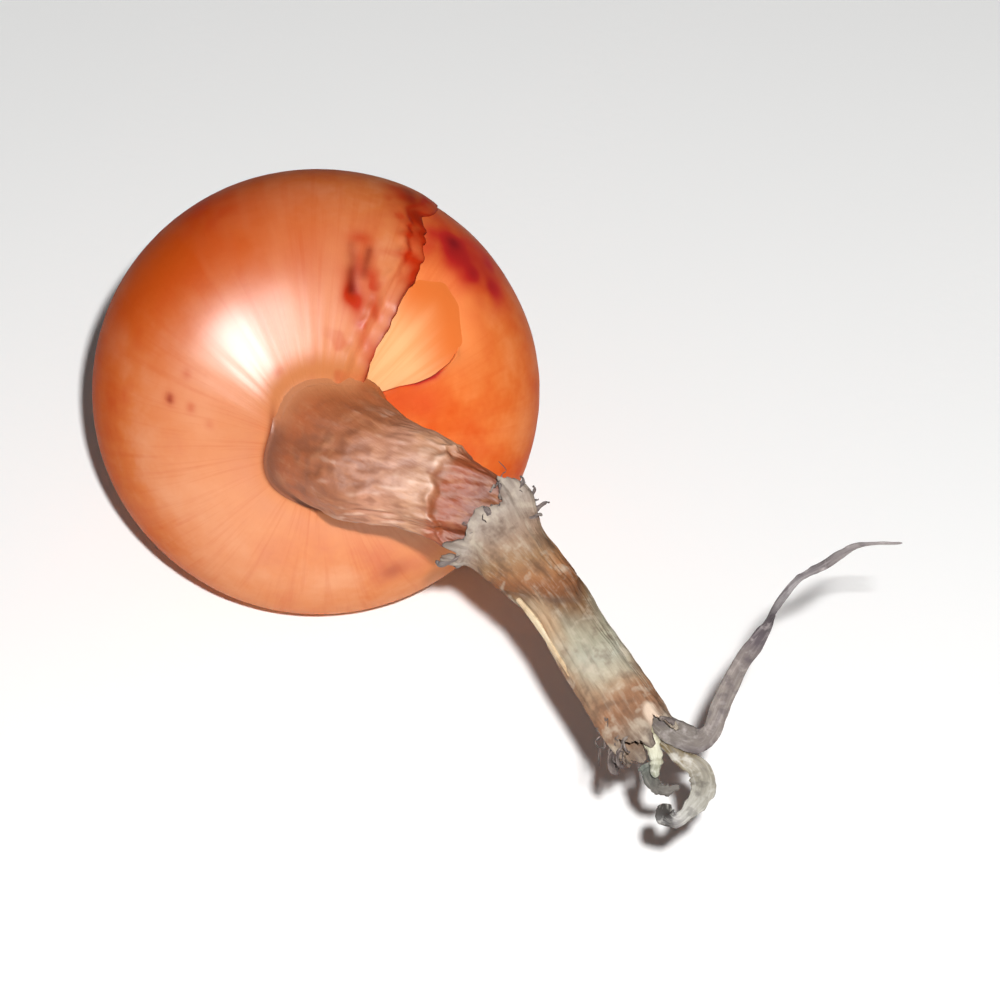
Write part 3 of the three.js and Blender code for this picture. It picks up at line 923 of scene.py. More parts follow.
# Each mark on a skin: its strength, its half width in millimetres, and its path over the bulb.
RED_MARKS: Marks = (
    (0.95, 0.95, ((54, 77), (45, 76), (37, 75))),
    (0.55, 0.6, ((37, 75), (30, 68), (24, 57))),
    (0.5, 0.5, ((44, 70), (34, 63))),
    (0.9, 0.9, ((92, 61), (71, 61), (60, 61), (50, 58))),
    (0.8, 1.4, ((85, 69), (76, 66), (69, 61))),
    (0.6, 2.4, ((97, 122), (78, 119))),
    (0.7, 0.45, ((41, 169),)),
    (0.6, 0.35, ((34, 170),)),
    (0.5, 0.35, ((28, 176),)),
    (0.5, 0.4, ((19, 120),)),
    (0.4, 0.4, ((38, 157),)),
)
DARK_MARKS: Marks = (
    (0.9, 0.36, ((52, 79), (44, 77.5), (39, 76))),
    (0.7, 0.3, ((52, 73.5), (44, 73))),
    (0.6, 0.6, ((88, 66), (76, 64), (66, 61))),
    (0.7, 0.25, ((41, 169),)),
)
STAIN: Marks = ((1.0, 2.1, ((70, 49), (72, 39))),)
STAIN_EDGE: Marks = ((0.3, 0.9, ((64, 57), (84, 58))), (0.4, 2.4, ((66, 52), (84, 44))))
INNER_FLUSH: Marks = ((0.75, 1.5, ((19, 27), (23, 21), (29, 15))),)
# Painted shade: darkens the left and upper-left limb of the outer skin.
OUTER_FLUSH: Marks = (
    (0.9, 11.0, ((75, 118), (95, 120))),
    (0.8, 5.0, ((88, 150), (88, 175), (88, 200), (88, 225))),
)
# The first mark is painted bounce light on the lower side; the last, below 0, takes paleness away
# under the neck as painted shade.
PALLOR: Marks = (
    (0.6, 11.0, ((60, -90), (85, -100), (80, -60))),
    (0.45, 4.5, ((74, 100), (56, 84))),
    (-0.6, 4.0, ((38, -95), (44, -75))),
)
SMUDGE: Marks = ((0.35, 0.8, ((49, -65),)),)
DENT: Marks = ((-0.12, 0.45, ((50, 78.5), (44, 77), (38, 75.5))),)


@dataclass
class Bulb:
    """The live bulb and the two dry skins round it.

    Attributes:
        form: the shape that they share.
        foot: the edge of the sleeve on them, as polar angles and azimuths in degrees.
        tear: the opening in the outer skin.
        split: the opening in the inner skin.
        rim: the line of the split's raised rim, as polar angles and azimuths.
        faint_edge: the line of its other edge, which lies flush.
        inner_top: distance of the inner skin's outer side from the bulb.
        inner_wall: its thickness.
        outer_top: distance of the outer skin's outer side from the bulb.
        outer_wall: its thickness.
        neck_polar: polar angle of the holes in the skins under the neck, in degrees.
        root_polar: polar angle of the holes round the root plate.
        tuck: how far the inner skin reaches under the outer one, in degrees.
    """

    form: BulbForm
    foot: Array
    tear: Opening = Opening(
        top=4.0, bottom=138.0, right=(-34, -31, -34, -33, -30, -34, -22, -4, 30),
        left=(38, 54, 57, 56, 60, 58, 57, 50, 34),
    )
    split: Opening = Opening(
        top=17.0, bottom=54.0, right=(37, 29, 24.5, 25, 29, 40),
        left=(46, 58, 60, 61, 58, 50), close=5.0,
    )
    rim: Path = ((18, 37), (21, 35), (25, 30), (29, 25.5), (34, 24), (38, 26), (42, 28.5))
    faint_edge: Path = ((46, 31), (52, 40), (54, 46), (50, 52))
    inner_top: float = 0.32
    inner_wall: float = 0.24
    outer_top: float = 0.72
    outer_wall: float = 0.32
    neck_polar: float = 9.0
    root_polar: float = 167.0
    tuck: float = 9.0

    def __post_init__(self) -> None:
        """Seeds the reliefs."""
        self.crease, self.frill, self.stain = Noise(12), Noise(13), Noise(14)

    def grid(self, azimuth: Array, polar: Array) -> tuple[Array, Array, Array]:
        """Polar angles, azimuths and surface coordinates of a grid, each rows by columns.

        Azimuth is rows by columns or one row, and polar is one angle for each row, both in
        radians. The coordinates are turns round the axis and half turns from the neck.
        """
        azimuth = np.broadcast_to(azimuth, (len(polar), azimuth.shape[-1]))
        polar = np.broadcast_to(polar[:, None], azimuth.shape)
        return polar, azimuth, np.stack([azimuth / TURN, polar / math.pi], axis=-1)

    def marks(self, table: Marks, polar: Array, azimuth: Array) -> Array:
        """The sum over a table of strength times a bell of the distance to the mark's path."""
        trail = self.form.trail
        return sum(power * bell(trail(path, polar, azimuth), wide) for power, wide, path in table)

    def jag(self, rows: Array, size: float, step: float, shift: float) -> Array:
        """How far an edge wanders from its line, in radians, at each row."""
        line = np.stack([rows * step, np.zeros_like(rows), np.full_like(rows, shift)], axis=-1)
        return np.radians(size) * self.frill.at(line)

    def flesh(self) -> None:
        """The live bulb, a closed surface: peach by the split and orange further out."""
        form = self.form
        polar, azimuth, uv = self.grid(round_turn(200), np.linspace(math.pi, 0.0, 150))
        points = form.at(polar, azimuth, 0.0, form.swelling(polar, azimuth))
        far = form.trail(self.faint_edge, polar, azimuth)
        sheet = Sheet(points, uv, {"ripe": ease(4.4, 0.2, far)}, closed=True)
        dress(sheet.build("bulb_flesh"), Tint.FLESH, "bulb", "bulb")

    def inner_skin(self) -> None:
        """The smooth inner skin in the tear, with a crisp raised rim on one side of its split.

        Columns run from under the tear's right edge to the split, and from the split to under the
        tear's left edge. Where the split is shut its two edges weld. Its far edge lies flush on
        the bulb.
        """
        form = self.form
        rows = np.radians(np.linspace(146.0, self.neck_polar, 170))
        tear_right, tear_left = self.tear.edges(rows)
        split_right, split_left = self.split.edges(rows)
        open_share = np.clip((split_left - split_right) / 0.05, 0.0, 1.0)
        jag = self.jag(rows, 0.9, 14.0, 0.0) * open_share
        tuck = np.radians(self.tuck)
        spread = np.linspace(0.0, 1.0, 150) ** 0.8
        start, end = (tear_right - tuck)[:, None], (tear_left + tuck)[:, None]
        right_part = start + ((split_right + jag)[:, None] - start) * spread
        first = (split_left + jag)[:, None]
        left_part = first + (end - first) * np.linspace(0.0, 1.0, 50)
        azimuths = np.concatenate([right_part, left_part], axis=1)
        polar, azimuth, uv = self.grid(azimuths, rows)

        rim = form.trail(self.rim, polar, azimuth)
        faint = form.trail(self.faint_edge, polar, azimuth)
        flush_edge = bell(faint, 1.2) * ease(0.2, 1.0, rim)
        where = form.at(polar, azimuth, 0.0) + 50.0
        lift = 0.16 * bell(rim, 0.45) * (1.0 + 0.6 * self.frill.at(where, 0.8))
        vein = 0.018 * self.crease.round(azimuth, polar, 90.0, 2.0)
        relief = form.swelling(polar, azimuth) + lift + vein - 0.42 * flush_edge
        points = form.at(polar, azimuth, self.inner_top, relief)

        degrees = np.degrees(polar)
        broken = 0.8 + 0.4 * self.stain.at(where, 1.1)
        core = self.marks(STAIN, polar, azimuth) * broken
        stain = 1.8 * core + self.marks(STAIN_EDGE, polar, azimuth)
        flush = self.marks(INNER_FLUSH, polar, azimuth)
        masks = {
            # The rise towards the limb is painted shade.
            "flush": flush + 0.35 * ease(60.0, 95.0, degrees),
            "pallor": bell(faint, 2.6),
            "bruise": stain * broken + 0.95 * bell(rim, 0.2),
            "scab": 0.5 * bell(rim, 0.1) + 0.95 * core**2,
            "wax": 0.3 * ease(60.0, 40.0, degrees),
        }
        sheet = Sheet(points, uv, masks, cut_column=right_part.shape[1] - 1)
        dress(sheet.build("skin_inner", self.inner_wall), Tint.INNER, "inner_skin", "inner_skin")

    def outer_skin(self) -> None:
        """The weathered outer skin, from the tear's left edge round the back to its right edge.

        Columns crowd at both edges: share u - 0.72 sin(2 pi u) / 2 pi. Rows crowd round the neck.
        Pleats run out from the neck, and the torn left edge curls up over a second fold beside
        it. Brown from the sleeve's foot soils the skin, and a painted shadow darkens the crease
        under the sleeve's overhanging side.
        """
        form, crease = self.form, self.crease
        fine = 42.0
        coarse_rows = np.linspace(self.root_polar, fine, 110, endpoint=False)
        rows = np.radians(np.append(coarse_rows, np.linspace(fine, self.neck_polar, 62)))
        right, left = self.tear.edges(rows)
        jag = self.jag(rows, 1.5, 9.0, 3.3) + self.jag(rows, 0.8, 26.0, 9.1)
        u = np.linspace(0.0, 1.0, 262)
        share = u - 0.72 * np.sin(TURN * u) / TURN
        first = (left + jag * ease(138.0, 120.0, np.degrees(rows)))[:, None]
        last = (right + TURN)[:, None]
        polar, azimuth, uv = self.grid(first + (last - first) * share, rows)

        degrees = np.degrees(polar)
        arc = form.radius * np.sin(polar)
        from_left, from_right = (azimuth - first) * arc, (last - azimuth) * arc
        torn = ease(140.0, 118.0, degrees)
        where = form.at(polar, azimuth, 0.0)
        lobes = self.frill.at(where + 50.0, 1.5)
        curl = (0.15 + 0.2 * lobes) * np.exp(-from_left / 0.38) * ease(72.0, 56.0, degrees)
        sunk = -0.24 * np.exp(-from_left / 0.9) * ease(62.0, 78.0, degrees)
        fold = (0.13 + 0.1 * self.frill.at(where + 20.0, 1.1)) * bell(from_left - 1.5, 0.35)
        fold = (fold - 0.1 * bell(from_left - 0.9, 0.3)) * ease(84.0, 64.0, degrees)
        lip = 0.12 * np.exp(-from_right / 0.4)
        pleat = crease.folds(azimuth, polar, (1.0, 0.0, 100.0, 2.4), (0.8, 0.0, 200.0, 3.6))
        strength = 0.006 + 0.009 * ease(42.0, 18.0, degrees) + 0.05 * ease(140.0, 165.0, degrees)
        relief = form.swelling(polar, azimuth) + strength * pleat
        relief = relief + torn * (curl + sunk + fold + lip) + self.marks(DENT, polar, azimuth)
        points = form.at(polar, azimuth, self.outer_top, relief)

        broken = 0.75 + 0.45 * self.stain.at(where + 50.0, 0.9)
        red = np.clip(self.marks(RED_MARKS, polar, azimuth) * broken, 0.0, 1.0)
        dark = np.clip(self.marks(DARK_MARKS, polar, azimuth) * broken, 0.0, 1.0)
        second = 0.25 * bell(from_left - 1.15, 0.22) * ease(40.0, 52.0, degrees)
        fringe = 0.35 * bell(from_left - 2.0, 1.5) * ease(0.1, 0.7, self.stain.at(where, 0.8))
        red = np.clip(red + torn * (0.6 * np.exp(-from_left / 0.3) + second + fringe), 0.0, 1.0)
        dark = np.clip(dark + 0.6 * torn * np.exp(-from_left / 0.12), 0.0, 1.0)
        near, hangs = form.trail(self.foot, polar, azimuth), lower_left(azimuth)
        soiled = ease(2.0, 0.1, near + 0.4 * self.stain.at(where, 1.3))
        masks = {
            # Painted shade on the left and upper-left limb.
            "flush": self.marks(OUTER_FLUSH, polar, azimuth),
            # Paler towards the neck, with painted bounce light low down and painted shade under
            # the neck.
            "pallor": self.marks(PALLOR, polar, azimuth) + 0.65 * ease(76.0, 24.0, degrees),
            "bruise": red,
            # Its last term is a painted shadow along the sleeve's overhanging lower-left edge.
            "scab": dark + self.marks(SMUDGE, polar, azimuth) + 0.9 * hangs * bell(near, 0.28),
            "soil": (1.0 - hangs) * soiled,
            "wax": 0.84 * ease(62.0, 38.0, degrees) * (1.0 - 0.8 * red) * ease(0.1, 1.9, near),
        }
        piece = Sheet(points, uv, masks).build("skin_outer", self.outer_wall)
        dress(piece, Tint.OUTER, "outer_skin", "outer_skin")

    def build(self) -> None:
        """Builds the bulb and its skins, from the inside out."""
        self.flesh()
        self.inner_skin()
        self.outer_skin()


# ------------------------------------------------------------------------------ neck


# The direction of the neck's width, and the bends of its line outside the bulb.
ACROSS_NECK = unit(np.array([0.55, 0.62, 0.56]))
NECK_BENDS: Path = (
    (4.0, -11.2, 22.9), (6.6, -13.8, 23.7), (9.6, -15.6, 23.6), (12.3, -17.2, 23.1),
    (14.1, -20.0, 22.9), (16.2, -22.8, 22.6), (18.6, -27.3, 22.2), (20.8, -31.3, 21.5),
    (22.9, -34.7, 20.8),
)


def neck_line(form: BulbForm) -> Spline:
    """The neck's line: out of the bulb along its axis, then round to +X and out level."""
    inside = [form.place(0.7, 0.0, 8.0), form.place(1.5, 0.1, 12.2)]
    return Spline(np.vstack([inside, NECK_BENDS]))


def lower_left(azimuth: Array) -> Array:
    """1 on the side of the neck that hangs over the bulb, 0 on the side that clings to it."""
    return ease(0.0, 0.7, nearness(azimuth, -140.0))


def over_tear(azimuth: Array) -> Array:
    """1 on the side of the neck where the tear shows the inner skin, 0 elsewhere."""
    return ease(0.75, 0.95, nearness(azimuth, 22.0))


@dataclass
class Sleeve:
    """The papery sleeve: a flattened cone round the neck, whose skirt spreads on the shoulder.

    Attributes:
        form: the bulb that it sits on.
        end: place on the neck's line where it ends, inside the sheath.
        widths: half widths along it.
        depths: half depths along it.
        clear: distance of its wall from the bulb where the skirt begins.
        toe: how far the skirt spreads past the wall.
        drawn_in_skirt: share that its upper right side is drawn in by, at the skirt.
        drawn_in_end: share that its lower left side is drawn in by, past the middle.
        fold: place along it, on its upper side, of a fold across it.
        wall: its thickness.
        columns: points round it.
        rows: rows of points up the wall.
        toe_rows: rows in the toe.
        bend_rows: rows from the toe's edge that the rounding of the bend reaches.
        rounding: how many times it is rounded.
    """

    form: BulbForm
    end: float = 0.56
    widths: Numbers = (5.2, 5.3, 4.7, 4.2, 3.9, 3.5, 3.1, 2.7)
    depths: Numbers = (4.6, 4.5, 3.4, 2.4, 1.9, 1.6, 1.3, 1.1)
    clear: float = 0.95
    toe: float = 0.8
    drawn_in_skirt: float = 0.26
    drawn_in_end: float = 0.22
    fold: float = 0.635
    wall: float = 0.2
    columns: int = 220
    rows: int = 170
    toe_rows: int = 12
    bend_rows: int = 40
    rounding: int = 24

    def tube(self) -> Tube:
        """The sleeve's tube, along the inner part of the neck's line."""
        line = neck_line(self.form).stretch(0.0, self.end)
        return Tube(line, self.widths, self.depths, ACROSS_NECK)

    def ripple(self, place: Array, angle: Array) -> Array:
        """The wall's wide ripples, 1 + 0.03 sin(5 angle + 6 place), less where it is drawn in.

        It is drawn in on its upper right at the skirt, and on its lower left past the middle.
        """
        skirt = ease(-0.1, 1.0, np.cos(angle)) * ease(0.7, 0.15, place)
        end = ease(0.1, -0.9, np.cos(angle)) * ease(0.35, 0.65, place)
        drawn = self.drawn_in_skirt * skirt + self.drawn_in_end * end
        return 1.0 + 0.03 * np.sin(5.0 * angle + 6.0 * place) - drawn

    def start(self, tube: Tube, angles: Array) -> Array:
        """The place at each angle where the wall rises clear of the shoulder."""
        scan, around = crossed(np.linspace(0.0, 0.6, 300), angles)
        over = self.form.over_shoulder(tube.at(scan, around, swell=self.ripple(scan, around)))
        after = np.argmax(over > self.clear, axis=0)
        high = np.take_along_axis(over, after[None], axis=0)[0]
        low = np.take_along_axis(over, after[None] - 1, axis=0)[0]
        part = (self.clear - low) / (high - low)
        return scan[after - 1, 0] + part * (scan[1, 0] - scan[0, 0])

    def spread(self, wall: Array, steps: Array) -> tuple[Array, Array]:
        """Polar angles and azimuths where the toe lies on the bulb, each rows by columns.

        Wall is the wall's first row of points. Steps run from 1 at the toe's outer edge to 0
        under the wall.
        """
        side, up, _ = np.moveaxis(self.form.local(wall), -1, 0)
        azimuth = np.arctan2(up, side)
        shorter = 1.0 - 0.7 * lower_left(azimuth) - 0.65 * over_tear(azimuth)
        reach = self.toe * shorter * steps[:, None]
        share = (np.hypot(side, up) + reach) / (self.form.radius + self.form.skins)
        return np.arcsin(np.clip(share, 0.0, 0.99)), np.broadcast_to(azimuth, share.shape)

    def foot(self) -> Array:
        """The toe's outer edge on the bulb, as polar angles and azimuths in degrees."""
        tube = self.tube()
        angles = np.linspace(0.0, TURN, 60)
        start = self.start(tube, angles)
        wall = tube.at(start, angles, swell=self.ripple(start, angles))
        polar, azimuth = self.spread(wall, np.array([1.0]))
        return np.degrees(np.stack([polar[0], azimuth[0]], axis=-1))

    def past_fold(self, place: Array, angle: Array) -> Array:
        """How far places lie past the cross fold, which slants: it is nearer on the upper side."""
        wavy = 0.008 * np.sin(9.0 * angle) + 0.006 * np.sin(17.0 * angle + 1.0)
        return place - self.fold - 0.08 * (1.0 - nearness(angle, 50.0)) - wavy

    def wrinkles(self, tube: Tube, place: Array, angle: Array) -> tuple[Array, Array]:
        """The wall's relief in millimetres, and its fine part from -1 to 1 for the colour.

        It has long slanting folds, finer creases, crumples and one cross fold. Past the fold
        the wall steps down to an inner layer.
        """
        crease, crumple = Noise(21), Noise(22)
        where = tube.at(place, angle)
        past = self.past_fold(place, angle)
        mid = crease.round(angle + 2.4 * place, place, 34.0, 9.0)
        fine = crease.round(angle + 1.8 * place, place, 80.0, 22.0)
        relief = crease.folds(angle, place, (0.22, 2.2, 12.0, 4.0)) + 0.12 * mid + 0.05 * fine
        relief = relief + crumple.lumps(where, (0.16, 50.0, 2.4), (0.09, 20.0, 0.8))
        relief = relief + 0.17 * bell(past, 0.016) * (0.7 + 0.7 * crumple.at(where, 0.9))
        relief = relief - 0.2 * ease(-0.002, 0.02, past)
        return relief, 0.5 * mid + 0.5 * fine + 0.35 * crumple.at(where + 20.0, 0.6)

    def build(self) -> None:
        """Builds the sleeve.

        At each angle the wall starts where the flattened tube leaves the shoulder. The toe goes
        on from there outwards over the shoulder, and the bend between them is rounded by
        averaging neighbours along each column.
        """
        form, tube = self.form, self.tube()
        angles = round_turn(self.columns)
        start = self.start(tube, angles)[None]
        share = np.linspace(0.0, 1.0, self.rows)[:, None]
        place = start + (1.0 - start) * share
        angle = np.broadcast_to(angles, place.shape)
        relief, fine = self.wrinkles(tube, place, angle)
        relief = relief * ease(0.0, 0.14, share) * ease(1.0, 0.9, share)
        wall = tube.at(place, angle, swell=self.ripple(place, angle), out=relief)

        steps = np.linspace(1.0, 0.0, self.toe_rows, endpoint=False)
        polar, azimuth = self.spread(wall[0], steps)
        low = lower_left(azimuth[0])
        lift = 0.05 + 0.16 * low * steps[:, None] + form.swelling(polar, azimuth)
        lift = lift - 0.34 * (1.0 - low) * ease(0.3, 1.0, steps)[:, None]
        toe = form.at(polar, azimuth, form.skins, lift)
        points = np.concatenate([toe, wall], axis=0)
        bend = points[: self.bend_rows + 1]
        for _ in range(self.rounding):
            bend[1:-1] = (bend[:-2] + 2.0 * bend[1:-1] + bend[2:]) / 4.0

        none = np.zeros_like(polar)
        rows, fine = np.vstack([none, place]), np.vstack([none, fine])
        turns = np.broadcast_to(angles, rows.shape)
        uv = np.stack([turns / TURN, rows], axis=-1)
        down = np.arange(len(rows))[:, None] / self.toe_rows
        past = self.past_fold(rows, turns)
        # Painted highlight: pale glints on the middle creases' crests and along part of the fold's
        # ridge.
        rubbed = ease(0.24, 0.42, rows) * ease(0.03, -0.01, past)
        upper = bell(np.angle(np.exp(1j * (turns - np.radians(35.0)))), 0.6)
        facing = ease(0.2, 0.75, nearness(turns, 72.0))
        ridge = bell(past + 0.008, 0.009) * ease(-0.4, 0.4, fine) * facing
        # Painted shade in the troughs of the creases.
        hollow = ease(-0.12, -0.55, fine) * ease(0.16, 0.3, rows)
        clings = (1.0 - low) * (1.0 - over_tear(azimuth[0]))
        masks = {
            "crest": 0.5 * ease(0.16, 0.6, fine) * rubbed + 0.6 * ridge,
            # Painted shade: a dark line at the toe's overhanging lower-left edge, in the troughs,
            # and just past the cross fold.
            "grime": low * ease(2.4, 0.6, down) + 0.55 * hollow + 0.5 * bell(past - 0.02, 0.012),
            "melt": clings * ease(2.2, 0.6, down) + 0.4 * upper * ease(0.4, 0.22, rows),
        }
        piece = Sheet(points, uv, masks, closed=True).build("sleeve", self.wall)
        dress(piece, Tint.SLEEVE, "neck_sleeve", "neck_sleeve")


@dataclass(frozen=True)
class Shred:
    """A strip torn from the sheath and still held by it.

    Attributes:
        place: where it leaves the sheath, as a share of its length.
        angle: where round the sheath, in degrees.
        length: how long it is, in millimetres.
        back: how far it leans back towards the bulb. Below 0 it leans towards the end.
        width: half width where it leaves the sheath.
        curl: how far its tip turns over.
    """

    place: float
    angle: float
    length: float
    back: float
    width: float = 0.5
    curl: float = 0.3


@dataclass
class Sheath:
    """The dead leaf sheath round the sleeve's end, with torn ends, a stiff edge and shreds.

    Attributes:
        form: the bulb, for the neck's line.
        collar: place on the neck's line where it begins.
        widths: half widths along it.
        depths: half depths along it.
        wall: its thickness.
        columns: points round it.
        rows: rows of points along it.
        layer_end: place along it where its outermost layer ends in an edge, on one side.
        dark_patch: place, angle in degrees and half width of a purple spot on it.
        bare_patches: the same of the cream patches where it is worn through.
        shreds: the strips torn from it.
        fibre_count: loose fibres at each torn end.
    """

    form: BulbForm
    collar: float = 0.44
    widths: Numbers = (3.6, 3.0, 2.35, 1.95, 2.0, 2.2, 2.3, 2.3)
    depths: Numbers = (2.0, 1.7, 1.35, 1.15, 1.1, 1.05, 1.05, 1.0)
    wall: float = 0.22
    columns: int = 240
    rows: int = 190
    layer_end: float = 0.39
    dark_patch: Numbers = (0.34, 12.0, 0.6)
    bare_patches: Path = ((0.9, 53.0, 0.42), (0.935, 56.0, 0.5), (0.965, 62.0, 0.4))
    shreds: tuple[Shred, ...] = (
        Shred(0.13, 25, 1.3, 0.5, 0.3),
        Shred(0.17, -15, 1.1, -0.1, 0.3),
        Shred(0.22, 20, 0.9, -0.4, 0.3),
        Shred(0.07, 165, 1.5, 1.0),
        Shred(0.10, 200, 1.1, 0.6, 0.4),
        Shred(0.90, 200, 1.5, -2.4),
        Shred(0.92, 172, 1.7, -2.6),
        Shred(0.94, 140, 1.4, -2.8),
        Shred(0.10, 50, 1.0, 0.9, 0.28),
        Shred(0.15, 5, 1.1, 0.4, 0.25),
        Shred(0.12, 80, 0.8, 1.0, 0.3),
        Shred(0.93, 115, 1.2, -3.2, 0.35),
        Shred(0.95, 40, 1.0, -2.6, 0.35),
    )
    fibre_count: int = 14

    def tube(self) -> Tube:
        """The sheath's tube along the outer part of the neck's line."""
        line = neck_line(self.form).stretch(self.collar, 1.0)
        return Tube(line, self.widths, self.depths, ACROSS_NECK)

    def ripple(self, place: Array, angle: Array) -> Array:
        """The wall's wide ripples: 1 + 0.05 sin(4 angle + 5 place)."""
        return 1.0 + 0.05 * np.sin(4.0 * angle + 5.0 * place)

    def spot(self, tube: Tube, where: Array, place: float, turn: float, size: float) -> Array:
        """A round patch: a bell of the distance to one point of the sheath.

        The point is a place along the tube and a turn round it in degrees.
        """
        middle = tube.at(np.array(place), np.array(math.radians(turn)))
        return bell(np.linalg.norm(where - middle, axis=-1), size)

    def body(self, tube: Tube) -> bpy.types.Object:
        """The sheath itself, a ribbed tube whose ends are ragged.

        Its ends lie at places that vary with the angle: the wide sines of the solid, and noise in
        narrow teeth. Ribs and crumples are noise in cells that are long along the line.
        """
        angles = round_turn(self.columns)
        tooth, rib, crumple = Noise(31), Noise(32), Noise(33)
        start = 0.07 + 0.04 * np.cos(angles) + 0.025 * np.sin(7 * angles)
        start = start + 0.016 * tooth.round(angles, 0.0, 40.0, 1.0)
        start = start + 0.012 * tooth.round(angles, 5.0, 90.0, 1.0)
        end = 0.965 + 0.026 * np.sin(5 * angles) + 0.02 * tooth.round(angles, 9.0, 46.0, 1.0)
        end = np.minimum(end + 0.014 * tooth.round(angles, 14.0, 100.0, 1.0), 1.0)
        share = np.linspace(0.0, 1.0, self.rows)[:, None]
        place = start + (end - start) * share
        angle = np.broadcast_to(angles, place.shape)
        where = tube.at(place, angle)
        flare = 0.35 * ease(0.09, 0.0, share) * (0.6 + 0.9 * tooth.round(angle, place, 18.0, 3.0))
        slant = 0.13 * nearness(angles, 50.0)
        layer = self.layer_end + slant + 0.012 * tooth.round(angles, 3.0, 9.0, 1.0)
        out = (
            rib.folds(angle, place, (0.1, 0.5, 30.0, 5.0), (0.055, 0.3, 62.0, 9.0))
            + crumple.lumps(where, (0.2, 50.0, 2.3), (0.09, 20.0, 0.8))
            + flare
            + 0.1 * ease(0.008, -0.008, place - layer)
            + 0.18 * ease(0.94, 1.0, share) * tooth.round(angle, place, 24.0, 6.0)
        )
        points = tube.at(place, angle, swell=self.ripple(place, angle), out=out)
        slanting = ease(0.12, 0.34, place) * ease(0.86, 0.66, place)
        uv = np.stack([angle / TURN, place - (slant - 0.106) * slanting], axis=-1)
        rim = ease(0.035, 0.0, share) + 0.8 * ease(0.95, 1.0, share)
        grime = 0.55 * rim * (0.5 + 0.5 * tooth.round(angle, place, 30.0, 4.0))
        grime = grime + 0.6 * bell(place - layer - 0.012, 0.012)
        bare = sum(self.spot(tube, where, *patch) for patch in self.bare_patches)
        tan = ease(0.7, 1.0, nearness(angle, 135.0)) * bell(place - 0.54, 0.08)
        masks = {
            "grime": grime + 0.7 * self.spot(tube, where, *self.dark_patch),
            "crest": 0.9 * ease(0.2, 1.0, bare + 0.25 * tooth.round(angle, place, 30.0, 24.0)),
            "melt": 0.8 * tan,
        }
        return Sheet(points, uv, masks, closed=True).build("sheath", self.wall)

    def strip(self, tube: Tube, shred: Shred) -> Sheet:
        """One shred: a flat tapering strand that bends away from the sheath and curls over."""
        place, turn = np.array(shred.place), np.radians(np.array(shred.angle))
        root = tube.at(place, turn, swell=0.86)
        out = unit(tube.at(place, turn) - root)
        tangent = tube.line.tangent(place)
        away = unit(out - shred.back * tangent)
        bend = root + 0.35 * shred.length * out + 0.2 * shred.length * away
        tip = bend + 0.6 * shred.length * away
        over = tip + 0.25 * shred.length * unit(away - shred.curl * 3.0 * out)
        wide = unit(np.cross(out, tangent) + 0.4 * tangent)
        width = tuple(shred.width * share for share in (1.0, 0.9, 0.55, 0.15))
        twist = (0.0, 0.4, 1.1 + shred.curl)
        strand = Tube(Spline([root, bend, tip, over]), width, (0.1, 0.09, 0.07, 0.04), wide, twist)
        return strand.rod(12, 30, out=0.03 * np.sin(np.linspace(0, 25, 30))[:, None])

    def fibres(self, tube: Tube) -> list[Sheet]:
        """Loose fibres at both torn ends, each a thin wavy strand that droops a little."""
        rng = np.random.default_rng(35)
        made = []
        for i in range(2 * self.fibre_count):
            far = i >= self.fibre_count
            place = np.array(rng.uniform(0.83, 0.965) if far else rng.uniform(0.05, 0.17))
            turn = np.radians(rng.uniform(120, 240) if far else rng.uniform(-30, 110))
            skin = tube.at(place, turn, swell=0.95)
            out = unit(skin - tube.line.at(place))
            tangent = tube.line.tangent(place)
            lean = rng.uniform(0.6, 2.0) if far else rng.uniform(-0.7, 0.5)
            heading = unit(out + lean * tangent + rng.normal(0.0, 0.3, 3))
            length = rng.uniform(0.6, 1.7) if far else rng.uniform(0.4, 1.0)
            bend = rng.normal(0.0, 0.22, (4, 3)) * length
            steps = np.linspace(0.0, 1.0, 5)[1:, None] * length
            path = np.vstack([skin[None], skin + heading * steps + bend * steps / length])
            thick = rng.uniform(0.045, 0.08)
            taper = (thick, thick * 0.5)
            made.append(Tube(Spline(path), taper, taper, out).rod(6, 14))
        return made

    def edge(self, tube: Tube) -> Sheet:
        """The stiff cream edge of the outermost leaf, a flat wavy strip along the sheath."""
        round_tube = Tube(tube.line, (1.0, 1.0), (1.0, 1.0), ACROSS_NECK)
        places = np.array([0.41, 0.50, 0.59, 0.69])
        path = round_tube.at(places, np.full(4, np.radians(159)), swell=1.95)
        widths, depths = (0.14, 0.26, 0.24, 0.1), (0.14, 0.14, 0.13, 0.1)
        strip = Tube(Spline(path), widths, depths, ACROSS_NECK, (0.6, 0.6))
        rows, turns = crossed(np.linspace(0, 1, 60), np.linspace(0, TURN, 24))
        return strip.rod(24, 60, out=0.05 * Noise(37).round(turns, rows, 8.0, 9.0))

    def build(self) -> None:
        """Builds the sheath, its shreds and fibres, and its cream edge."""
        tube = self.tube()
        dress(self.body(tube), Tint.SHEATH, "leaf_sheath", "leaf_sheath")
        strips = [self.strip(tube, shred) for shred in self.shreds]
        dress(joined("sheath_shreds", strips), Tint.SHRED, "leaf_sheath")
        dress(joined("sheath_fibres", self.fibres(tube)), Tint.SHRED, "leaf_sheath")
        dress(self.edge(tube).build("leaf_edge"), Tint.EDGE, "sheath_edge", "sheath_edge")


# The direction that the flat side of every leaf end faces.
LEAF_FACE = np.array([0.0, -0.67, 0.74])


